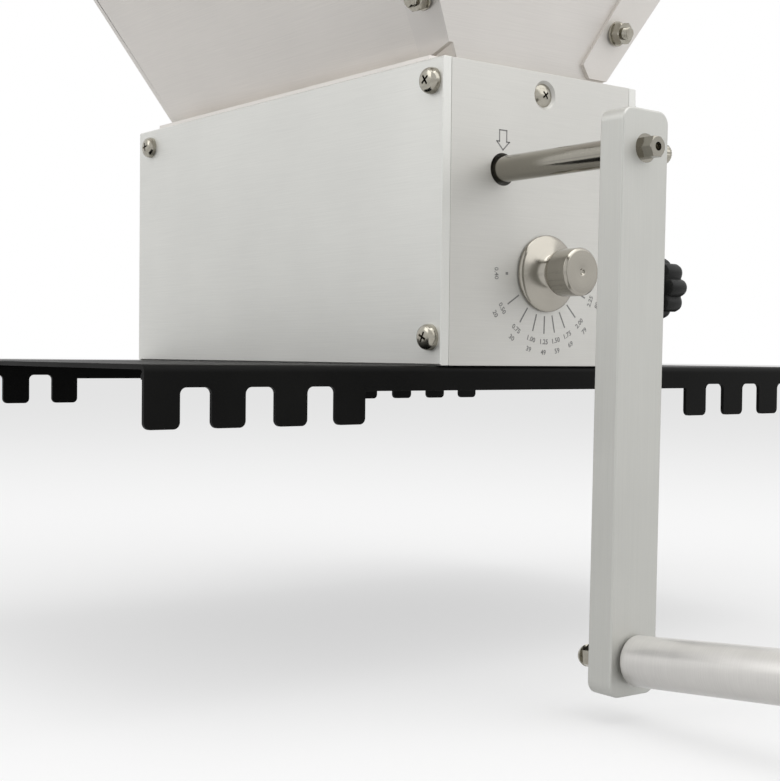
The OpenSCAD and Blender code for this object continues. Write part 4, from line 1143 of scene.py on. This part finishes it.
@dataclass
class Hopper:
    """Four folded sheets bolted at their laps."""

    fold: float = 2.2
    cut_edge: float = 0.11
    nut: tuple[float, float] = (10.0, 4.8)
    washer: tuple[float, float] = (12.0, 1.2)
    bolt_past_nut: float = 3.0
    grip: float = 4.05

    def build(self) -> None:
        """Bends the sheets and sets out the bolts, washers and nuts."""
        for side in ("front", "back", "right", "left"):
            piece = broken(f"hopper_{side}", f"hopper_{side}_sheet", self._weight, self.fold, 4)
            # End sheets take the darker, painted-shade tone; front and back sheets take the lighter, painted-light
            # tone.
            finish = PAINTED_SHADE_HOPPER_END_SHEET if side in ("right", "left") else PAINTED_LIGHT_HOPPER_SIDE_SHEET
            dressed(piece, "frame", finish, Slot.HOPPER, f"hopper_{side}")
        self._bolts()
        small = RaisedScrew(SCREW_STEEL, **{"Head Diameter": 5.6, "Thread Diameter": 3.0,
                                            "Rise": 0.25, "Length": 6.0})
        lip = (148.7 + 2.0) * MM
        spots = [centre_of(points) for points in islands("hopper_foot_screws")]
        dressed(small.set_out("hopper_lip_screws", [
            Place(Vector((p.x, p.y, lip)), Way.UP.vector, 31.0 * i) for i, p in enumerate(spots)]),
            "frame", SCREW_STEEL, Slot.SCREW, "hopper_foot_screws")

    def _weight(self, edge: bmesh.types.BMEdge) -> float:
        """1 on a fold's outer edge and a little on the sheet's long cut edges."""
        if len(edge.link_faces) != 2 or edge.calc_face_angle(0.0) < math.radians(30):
            return 0.0
        length = edge.calc_length()
        wide = all(face.calc_area() / max(length, 1e-6) > 5 * MM for face in edge.link_faces)
        if length > 60 * MM and wide and edge.is_convex:
            return 1.0
        return self.cut_edge / self.fold if length > 8 * MM else 0.0

    def _bolts(self) -> None:
        """Corner bolts, pointing outwards."""
        middle = node_centre("hopper_washers") * MM
        outer: list[Place] = []
        for number, points in enumerate(islands("hopper_washers")):
            centre = sum(points, Vector()) / len(points)
            aim = self._flat_axis(points, centre)
            if aim.dot(centre - middle) < 0:
                aim.negate()
            outer.append(Place(centre - aim * self.washer[1] / 2 * MM, aim, 13.0 * number))
        washer, nut = self.washer, self.nut
        dressed(FlatWasher(SCREW_STEEL, Diameter=washer[0], Height=washer[1], Bore=6.5).set_out(
            "corner_washers", outer), "frame", SCREW_STEEL, Slot.SCREW, "hopper_washers")
        lifted = [Place(p.origin + p.aim * washer[1] * MM, p.aim, p.turn) for p in outer]
        dressed(HexNut(SCREW_STEEL, **{"Across Flats": nut[0], "Height": nut[1], "Thread Diameter": 6.04}).set_out(
            "corner_nuts", lifted), "frame", SCREW_STEEL, Slot.SCREW, "hopper_nuts")
        tip = washer[1] + nut[1] + self.bolt_past_nut
        ends = [Place(p.origin + p.aim * tip * MM, p.aim, p.turn) for p in outer]
        rods = Thread(SCREW_STEEL, Diameter=6.0, Length=tip + self.grip, Pitch=1.0).set_out("corner_threads", ends)
        dressed(rods, "frame", SCREW_STEEL, Slot.SCREW)
        inner = [Place(p.origin - p.aim * self.grip * MM, -p.aim, p.turn) for p in outer]
        heads = PanScrew(SCREW_STEEL, **{"Head Diameter": 10.8, "Head Height": 3.68,
                                         "Thread Diameter": 5.8, "Length": 1.0}).set_out("corner_bolt_heads", inner)
        dressed(heads, "frame", SCREW_STEEL, Slot.SCREW, "hopper_bolts")

    @staticmethod
    def _flat_axis(points: Sequence[Vector], centre: Vector) -> Vector:
        """The direction across a flat ring of points."""
        arms = sorted((p - centre for p in points), key=lambda arm: -arm.length)
        first = arms[0]
        best = max(arms[:40], key=lambda arm: first.cross(arm).length)
        return first.cross(best).normalized()


@dataclass
class Crank:
    """Drive shaft, arm, handle and their screws."""

    arm_t: float = 13.0
    arm_w: float = 27.0
    arm_top: float = 16.1
    arm_bottom: float = 14.6
    corner: float = 5.5
    grip_d: float = 21.0
    grip_start: float = 1.311
    grip_l: float = 105.0
    clamp: tuple[float, float] = (9.2, 5.0)
    seat: float = -12.2
    washer: tuple[float, float] = (12.0, 1.2)
    nut: tuple[float, float] = (10.0, 4.8)

    def build(self) -> None:
        """Makes the arm, the grip and the screws."""
        arm = broken("crank_arm", "crank_arm_bar", self._arm_weight, 0.8, 3)
        dressed(arm, "crank", BAR_SATIN, Slot.ARM, "crank_arm")
        # The shaft's darkened colour is a painted dark reflection.
        recoated("drive_shaft", SHAFT_STEEL_PAINTED_DARK_REFLECTION)
        recoated("drive_inner_rings", BEARING_STEEL)
        recoated("handle_spindle", SHAFT_STEEL_PAINTED_DARK_REFLECTION)
        recoated("handle_cap_nut", SCREW_STEEL)
        wide, high = self.clamp
        cap = CapScrew(SCREW_STEEL, **{"Head Diameter": wide, "Head Height": high, "Thread Diameter": 5.0,
                                       "Neck": 0.05, "Length": 7.0})
        middle = Vector((ARM_FACE - self.arm_t / 2, DRIVE_AXIS.y, DRIVE_AXIS.z)) + ARM_ACROSS * self.arm_w / 2
        dressed(cap.set_out("arm_clamp_screw", [Place(middle * MM, ARM_ACROSS, 10.0)]),
                "crank", SCREW_STEEL, Slot.SCREW, "crank_clamp_screw")
        washer, nut = self.washer, self.nut
        seat = HANDLE_ROOT + HANDLE_AXIS * self.seat
        dressed(FlatWasher(SCREW_STEEL, Diameter=washer[0], Height=washer[1], Bore=6.5).set_out(
            "handle_seat_washer", [Place(seat * MM, -HANDLE_AXIS, 5.0)]),
            "crank", SCREW_STEEL, Slot.SCREW, "handle_washer")
        dressed(HexNut(SCREW_STEEL, **{"Across Flats": nut[0], "Height": nut[1], "Thread Diameter": 6.04}).set_out(
            "handle_lock_nut", [Place((seat - HANDLE_AXIS * washer[1]) * MM, -HANDLE_AXIS, 15.0)]),
            "crank", SCREW_STEEL, Slot.SCREW, "handle_nut")
        self._handle(HANDLE_ROOT, HANDLE_AXIS)

    def _arm_weight(self, edge: bmesh.types.BMEdge) -> float:
        """1 on the rim of the arm's two broad faces."""
        low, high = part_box("crank_arm")
        radius = self.corner * MM
        half = (CRANK_RADIUS + self.arm_top + self.arm_bottom) / 2
        middle = (half - self.arm_top) * MM

        def off_rim(point: Vector) -> float:
            """Distance of a point from the arm's outline."""
            arm = point - DRIVE_AXIS * MM
            y = abs(arm.dot(ARM_ACROSS)) - self.arm_w / 2 * MM + radius
            z = abs(arm.dot(ARM_DOWN) - middle) - half * MM + radius
            return math.hypot(max(y, 0), max(z, 0)) + min(max(y, z), 0) - radius

        ends = [v.co for v in edge.verts]
        flat = any(all(abs(p.x - level) < 2e-6 for p in ends) for level in (low.x, high.x))
        return 1.0 if flat and all(abs(off_rim(p)) < 3e-5 for p in ends) else 0.0

    def _handle(self, origin: Vector, aim: Vector) -> None:
        """The turned grip and its end cap."""
        radius, start, end = self.grip_d / 2, self.grip_start, self.grip_start + self.grip_l
        profile = softened([(start, 5.06), (start, radius - 1), (start + 1, radius), (end - 1.6, radius),
                            (end, radius - 1.6), (end, 8.5), (end - 8, 8.5), (end - 8, 5.06)], 0.8)
        grip = spun("turned_handle_grip", profile, origin, aim, 96)
        dressed(grip, "handle", GRIP_SATIN, Slot.GRIP, "handle_grip")
        low = end - 8 + 3.5
        cap = spun("handle_end_plug", softened([(low, 0), (low, 8.48), (end - 0.5, 8.48), (end, 7.6), (end, 4.0),
                                                (end - 0.6, 3.2), (end - 0.6, 0)], 0.4), origin, aim, 64)
        dressed(cap, "handle", KNOB_BLACK, Slot.PLASTIC, "handle_end_cap")


@dataclass
class Rollers:
    """Three knurled rollers on their shafts."""

    diameter: float = 50.8
    knurl: float = 0.55
    around: int = 200
    along: int = 300

    def build(self) -> None:
        """Knurls the rollers and dresses their shafts."""
        for name, node, body, bore, hub in (
                ("drive_roller_knurled", "drive_roller", "crank", 6.02, 10.0),
                ("idle_roller_knurled", "idle_roller", "idle", 6.02, 10.0),
                ("lower_roller_knurled", "lower_roller", "lower", 13.02, 15.0)):
            self._roller(name, node, body, bore, hub)
        recoated("idle_shaft", IDLE_STEEL)
        recoated("idle_inner_rings", BEARING_STEEL)
        recoated("lower_roller_bushes", BUSH_BRONZE)

    def _roller(self, name: str, node: str, body: str, bore: float, hub: float) -> None:
        """One roller: its knurled skin joined to its turned ends and bore."""
        low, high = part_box(node)
        length = (high.x - low.x) / MM
        middle = (low + high) / 2
        skin = KnurledDrum(ROLLER_STEEL, Diameter=self.diameter, Length=length, Depth=self.knurl,
                           Around=self.around, Along=self.along).set_out(
                               name + "_skin", [Place(middle, Way.RIGHT.vector)], 60.0)
        edge = self.diameter / 2 - 0.9 * self.knurl
        rim = self.diameter / 2 - 4
        half = length / 2
        ends = spun(name, [(-half, edge), (-half, rim), (-half + 3, rim), (-half + 3, hub), (-half, hub),
                           (-half, bore), (half, bore), (half, hub), (half - 3, hub), (half - 3, rim),
                           (half, rim), (half, edge)], middle / MM, Way.RIGHT.value, self.around)
        mesh = bmesh.new()
        mesh.from_mesh(ends.data)
        closing = [f for f in mesh.faces if all(abs(math.hypot(
            v.co.y - middle.y, v.co.z - middle.z) - edge * MM) < 1e-6 for v in f.verts)]
        bmesh.ops.delete(mesh, geom=closing, context="FACES_ONLY")
        mesh.from_mesh(skin.data)
        bmesh.ops.remove_doubles(mesh, verts=mesh.verts, dist=3e-6)
        bmesh.ops.recalc_face_normals(mesh, faces=mesh.faces)
        mesh.to_mesh(ends.data)
        mesh.free()
        bpy.data.objects.remove(skin)
        ends.data.set_sharp_from_angle(angle=math.radians(14))
        dressed(ends, body, ROLLER_STEEL, Slot.ROLLER, node)


@dataclass
class Adjuster:
    """Eccentric shaft, its knob, and the dial marked round it."""

    centre: tuple[float, float] = (KNOB_AXIS.y, KNOB_AXIS.z)
    face_x: float = 144.5
    rim: float = 18.0
    neck: float = 8.0
    grip: float = 11.1
    neck_x: float = 8.0
    length: float = 24.2
    mark_t: float = 0.04
    ticks: tuple[float, ...] = (-58.0, -35.0, -16.5, -1.5, 12.5, 27.0, 44.6, 68.0)
    tick_span: tuple[float, float] = (20.0, 28.3)
    tick_width: float = 0.7
    number_rings: tuple[float, float] = (32.2, 37.2)
    number_size: float = 3.3
    number_weight: float = 0.06

    def build(self) -> None:
        """Makes the knob and the dial."""
        # The adjuster's darkened steel colour is a painted dark reflection.
        recoated("adjuster_shaft", KNOB_STEEL_PAINTED_DARK_REFLECTION)
        recoated("knob_grub_screw", SCREW_STEEL)
        self._knob()
        self._ticks()
        self._numbers()
        self._arrow()

    def _knob(self) -> None:
        """Flat rim, hollow-curved cone, narrow neck and round grip."""
        rim, neck, grip = self.rim, self.neck, self.grip
        flare = [(2.2 + (self.neck_x - 2.2) * s / 16, neck + (rim - 0.8 - neck) * (1 - s / 16) ** 1.9)
                 for s in range(17)]
        bulge = [(self.neck_x + 1.2 + 3.4 * (1 - math.cos(math.radians(a))),
                  neck + (grip - neck) * math.sin(math.radians(a))) for a in range(10, 91, 10)]
        end = [(self.length - 1.1, grip), (self.length, grip - 1.1), (self.length, 1.7),
               (self.length - 0.8, 0.9), (self.length - 0.8, 0.0)]
        rounded_rim = [(0.3, rim - 0.25), (0.5, rim), (1.5, rim), (1.75, rim - 0.2)]
        tail = softened([bulge[-1]] + end[:-1], 0.25, 3) + [end[-1]]
        profile = [(0.3, 4.52)] + rounded_rim + flare + bulge[:-1] + tail[:-1] + [
            (self.length - 0.8, 0.0), (self.length - 5.8, 0.0), (self.length - 5.8, 4.52)]
        knob = self._knob_mesh(profile)
        dressed(knob, "adjuster", KNOB_STEEL_PAINTED_DARK_REFLECTION, Slot.KNOB, "adjuster_knob")

    def _knob_mesh(self, profile: list[tuple[float, float]]) -> bpy.types.Object:
        """Spins the knob as a shell round its stub."""
        split = next(i for i, (_, radius) in enumerate(profile) if radius == 0.0)
        outer = profile[:split + 1]
        origin = (self.face_x, *self.centre)
        inner_depth = self.length - 5.8
        shell = [(inner_depth, 0.0), (inner_depth, 4.52)] + outer
        return spun("turned_gap_knob", shell, origin, Way.RIGHT.value, 128, 40.0)

    def _spot(self, angle: float, reach: float, lift: float = 0.0) -> Vector:
        """A point on the crank face, by its angle from straight down and its distance from the knob."""
        turn = math.radians(angle)
        return Vector((self.face_x + lift, self.centre[0] + reach * math.sin(turn),
                       self.centre[1] - reach * math.cos(turn))) * MM

    def _ticks(self) -> None:
        """Marked lines round the knob and a small dot at the left."""
        start, end = self.tick_span
        stroke = Stroke(MARK_GREY, Length=end - start, Width=self.tick_width, Height=2 * self.mark_t)
        places = [Place(self._spot(a, start), Way.RIGHT.vector, self._stroke_turn(a)) for a in self.ticks]
        dressed(stroke.set_out("dial_ticks", places), "frame", MARK_GREY, Slot.BODY)
        dot = Stroke(MARK_GREY, Length=1.5, Width=1.3, Height=2 * self.mark_t)
        dressed(dot.set_out("dial_stop_mark", [Place(self._spot(-88, 24), Way.RIGHT.vector, self._stroke_turn(-88))]),
                "frame", MARK_GREY, Slot.BODY)

    @staticmethod
    def _stroke_turn(angle: float) -> float:
        """Turn about the face's normal that points a stroke away from the knob."""
        base = Way.RIGHT.vector.to_track_quat("Z", "Y").to_matrix()
        out = Vector((0, math.sin(math.radians(angle)), -math.cos(math.radians(angle))))
        local = base.transposed() @ out
        return math.degrees(math.atan2(local.y, local.x))

    def _numbers(self) -> None:
        """Two rings of plain numbers: the gap in millimetres and in thousandths of an inch."""
        mesh = bmesh.new()
        for index, angle in enumerate(self.ticks):
            gap = 0.5 + 0.25 * index
            for reach, text in zip(self.number_rings, (f"{gap:.2f}", f"{gap / 0.0254:.0f}")):
                self._write(mesh, text, angle, reach)
        self._write(mesh, "0.40", -88, self.number_rings[0] - 1)
        data = bpy.data.meshes.new("dial_numbers")
        mesh.to_mesh(data)
        mesh.free()
        dressed(linked("dial_numbers", data), "frame", MARK_GREY, Slot.BODY)

    def _write(self, mesh: bmesh.types.BMesh, text: str, angle: float, reach: float) -> None:
        """Adds one number to a mesh, its foot away from the knob."""
        curve = bpy.data.curves.new("number", "FONT")
        curve.body = text
        curve.size = self.number_size * MM
        curve.align_x, curve.align_y = "CENTER", "CENTER"
        curve.extrude = self.mark_t * MM
        curve.offset = self.number_weight * MM
        curve.resolution_u = 2
        writer = linked("number", curve)
        bpy.context.view_layer.update()
        flat = bpy.data.meshes.new_from_object(writer)
        turn = math.radians(angle)
        across = Vector((0, math.cos(turn), math.sin(turn)))
        up = Vector((0, -math.sin(turn), math.cos(turn)))
        origin = self._spot(angle, reach)
        for vert in flat.vertices:
            vert.co = origin + across * vert.co.x + up * vert.co.y + Way.RIGHT.vector * vert.co.z
        mesh.from_mesh(flat)
        bpy.data.objects.remove(writer)
        bpy.data.meshes.remove(flat)
        bpy.data.curves.remove(curve)

    def _arrow(self) -> None:
        """The outlined arrow that points down at the drive shaft."""
        half_shaft, half_head, top, neck, tip = 2.2, 3.9, 119.2, 114.0, 110.2
        outline = [(-half_shaft, top), (half_shaft, top), (half_shaft, neck), (half_head, neck), (0, tip),
                   (-half_head, neck), (-half_shaft, neck)]
        strokes = []
        for (y0, z0), (y1, z1) in zip(outline, outline[1:] + outline[:1]):
            start, end = Vector((y0, z0)), Vector((y1, z1))
            strokes.append((start, end))
        mesh = bmesh.new()
        for start, end in strokes:
            way = (end - start).normalized() * self.tick_width * 0.42
            side = Vector((-way.y, way.x))
            corners = [start - way - side, end + way - side, end + way + side, start - way + side]
            ring = [[mesh.verts.new(Vector((self.face_x + lift, -26.0 + c.x, c.y)) * MM) for c in corners]
                    for lift in (-self.mark_t, self.mark_t)]
            mesh.faces.new(ring[0])
            mesh.faces.new(ring[1])
            for i in range(4):
                mesh.faces.new((ring[0][i], ring[0][(i + 1) % 4], ring[1][(i + 1) % 4], ring[1][i]))
        bmesh.ops.recalc_face_normals(mesh, faces=mesh.faces)
        data = bpy.data.meshes.new("shaft_arrow")
        mesh.to_mesh(data)
        mesh.free()
        dressed(linked("shaft_arrow", data), "frame", MARK_GREY, Slot.BODY)


@dataclass
class Lock:
    """Star knob and its threaded stud."""

    axis: Vector = field(default_factory=lambda: node_centre("lock_stud"))
    diameter: float = 31.0
    hub_d: float = 16.0
    hub_l: float = 9.0
    lobes: int = 8
    steps: int = 160

    def build(self) -> None:
        """Moulds the knob and gives the stud its finish."""
        low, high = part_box("lock_knob")
        near, far = low.y / MM, high.y / MM
        rim = near + self.hub_l
        rings = [(near, self.hub_d / 2 - 0.6, 0.0), (near + 0.6, self.hub_d / 2, 0.0), (rim - 0.2, self.hub_d / 2, 0.0),
                 (rim, self.hub_d / 2 + 1.2, 0.0), (rim, None, -2.0), (rim + 0.5, None, -0.7), (rim + 1.8, None, 0.0),
                 (far - 3.0, None, 0.0), (far - 1.2, None, -0.7), (far - 0.3, None, -2.4), (far, None, -4.5),
                 (far, 6.5, 0.0), (far - 0.8, 6.0, 0.0), (far - 0.8, 0.0, 0.0)]
        mesh = bmesh.new()
        layers = [self._ring(mesh, *ring) for ring in rings]
        first = self._ring(mesh, near, 0.0, 0.0)
        for below, above in zip([first] + layers, layers):
            count = max(len(below), len(above))
            for i in range(count):
                corners = list(dict.fromkeys((below[i % len(below)], below[(i + 1) % len(below)],
                                              above[(i + 1) % len(above)], above[i % len(above)])))
                if len(corners) > 2:
                    mesh.faces.new(corners)
        bmesh.ops.recalc_face_normals(mesh, faces=mesh.faces)
        data = bpy.data.meshes.new("star_knob")
        mesh.to_mesh(data)
        mesh.free()
        piece = finished(linked("star_knob_source", data), "star_lock_knob", 40.0)
        dressed(piece, "lock", KNOB_BLACK, Slot.PLASTIC, "lock_knob")
        recoated("lock_stud", SCREW_STEEL)

    def _ring(self, mesh: bmesh.types.BMesh, y: float, radius: float | None, inset: float) -> list:
        """One ring of points at height y; no radius means the star outline moved by inset."""
        if radius == 0.0:
            return [mesh.verts.new(Vector((self.axis.x, y, self.axis.z)) * MM)]
        ring = []
        for step in range(self.steps):
            angle = math.tau * step / self.steps
            reach = radius if radius is not None else self._star(angle) + inset
            ring.append(mesh.verts.new(Vector((self.axis.x + reach * math.cos(angle), y,
                                               self.axis.z + reach * math.sin(angle))) * MM))
        return ring

    def _star(self, angle: float) -> float:
        """Radius of the lobed outline."""
        lobe = self.diameter * 0.14
        centre = self.diameter / 2 - lobe
        step = math.tau / self.lobes
        off = abs((angle + step / 2) % step - step / 2)
        inside = lobe ** 2 - (centre * math.sin(off)) ** 2
        tip = centre * math.cos(off) + math.sqrt(inside) if inside > 0 else 0.0
        valley = self.diameter / 2 - lobe * 0.72
        blend = 24.0
        return (tip ** blend + valley ** blend) ** (1 / blend) if tip > 0 else valley


# ---- Studio ----


@dataclass
class Studio:
    """Camera, floor, lamps and surroundings."""

    camera_at: Point = (0.62341, -0.45622, 0.01528)
    yaw: float = 52.587
    pitch: float = 1.431
    roll: float = 0.577
    lens: float = 64.29
    floor_z: float = -0.135

    def build(self) -> None:
        """Makes the studio."""
        self._camera()
        self._floor()
        self._world()
        self._lamp("key_softbox", (1.05, 0.55, 1.15), (0.0, 0.0, 0.08), 1.7, 9.0)
        self._lamp("fill_softbox", (-0.5, -1.4, 1.1), (0.0, 0.0, 0.06), 1.1, 6.5)
        self._lamp("top_softbox", (0.2, -0.2, 1.6), (0.1, 0.0, 0.0), 1.4, 11.0)
        scene = bpy.context.scene
        scene.view_settings.view_transform = "Standard"

    def _camera(self) -> None:
        """The camera, turned by its yaw, pitch and roll."""
        yaw, pitch, roll = (math.radians(a) for a in (self.yaw, self.pitch, self.roll))
        ahead = Vector((-math.sin(yaw) * math.cos(pitch), math.cos(yaw) * math.cos(pitch), -math.sin(pitch)))
        side = Vector((math.cos(yaw), math.sin(yaw), 0.0))
        above = side.cross(ahead)
        across = side * math.cos(roll) + above * math.sin(roll)
        upward = above * math.cos(roll) - side * math.sin(roll)
        turn = Matrix((across, upward, -ahead)).transposed().to_4x4()
        data = bpy.data.cameras.new("camera")
        data.sensor_width = 36.0
        data.sensor_fit = "HORIZONTAL"
        data.lens = self.lens
        data.clip_start = 0.01
        camera = linked("camera", data)
        camera.matrix_world = Matrix.Translation(self.camera_at) @ turn
        bpy.context.scene.camera = camera

    def _floor(self) -> None:
        """A wide white floor that keeps soft shadows."""
        data = bpy.data.meshes.new("floor")
        reach = 30.0
        data.from_pydata([(-reach, -reach, self.floor_z), (reach, -reach, self.floor_z),
                          (reach, reach, self.floor_z), (-reach, reach, self.floor_z)], [], [(0, 1, 2, 3)])
        floor = linked("floor", data)
        paint = bpy.data.materials.new("studio_floor_white")
        paint.use_nodes = True
        paint.node_tree.nodes.clear()
        book = Book(paint.node_tree)
        path = book.add("ShaderNodeLightPath").socket.node
        seen = Term(book, path.outputs["Is Camera Ray"]) + Term(book, path.outputs["Is Glossy Ray"]) \
            + Term(book, path.outputs["Is Transmission Ray"])
        tone = book.mix(seen.clamped(), (0.42, 0.42, 0.42, 1.0), (0.86, 0.86, 0.86, 1.0))
        matt = book.add("ShaderNodeBsdfDiffuse", None, {"Color": tone})
        glow = book.add("ShaderNodeEmission", None, {"Color": (1.0, 1.0, 1.0, 1.0), "Strength": 1.0})
        both = book.add("ShaderNodeMixShader", None, {0: seen.clamped() * 0.55, 1: matt, 2: glow})
        book.add("ShaderNodeOutputMaterial", None, {"Surface": both})
        data.materials.append(paint)

    def _world(self) -> None:
        """White where it is seen or mirrored, softer where it lights."""
        world = bpy.data.worlds.new("studio_world")
        bpy.context.scene.world = world
        world.use_nodes = True
        world.node_tree.nodes.clear()
        book = Book(world.node_tree)
        path = book.add("ShaderNodeLightPath").socket.node
        seen = Term(book, path.outputs["Is Camera Ray"]) + Term(book, path.outputs["Is Glossy Ray"]) \
            + Term(book, path.outputs["Is Transmission Ray"])
        strength = 0.56 + 0.44 * seen.clamped()
        light = book.add("ShaderNodeBackground", None, {"Color": (1.0, 1.0, 1.0, 1.0), "Strength": strength})
        book.add("ShaderNodeOutputWorld", None, {"Surface": light})

    @staticmethod
    def _lamp(name: str, at: Point, to: Point, size: float, power: float) -> None:
        """A square area lamp that faces a point."""
        data = bpy.data.lights.new(name, "AREA")
        data.shape = "SQUARE"
        data.size = size
        data.energy = power
        lamp = linked(name, data)
        aim = (Vector(to) - Vector(at)).to_track_quat("-Z", "Y").to_matrix().to_4x4()
        lamp.matrix_world = Matrix.Translation(at) @ aim


@dataclass
class GrainMill:
    """The whole mill."""

    assemblies: list[Any] = field(default_factory=lambda: [
        Studio(), BasePlate(), Body(), Hopper(), Crank(), Rollers(), Adjuster(), Lock()])

    def build(self) -> None:
        """Builds every sub-assembly."""
        for assembly in self.assemblies:
            LOG.info("building %s", type(assembly).__name__)
            assembly.build()


def main() -> None:
    """Builds the scene."""
    logging.basicConfig(level=logging.INFO, format="%(name)s: %(message)s")
    GrainMill().build()


if __name__ == "__main__":
    main()
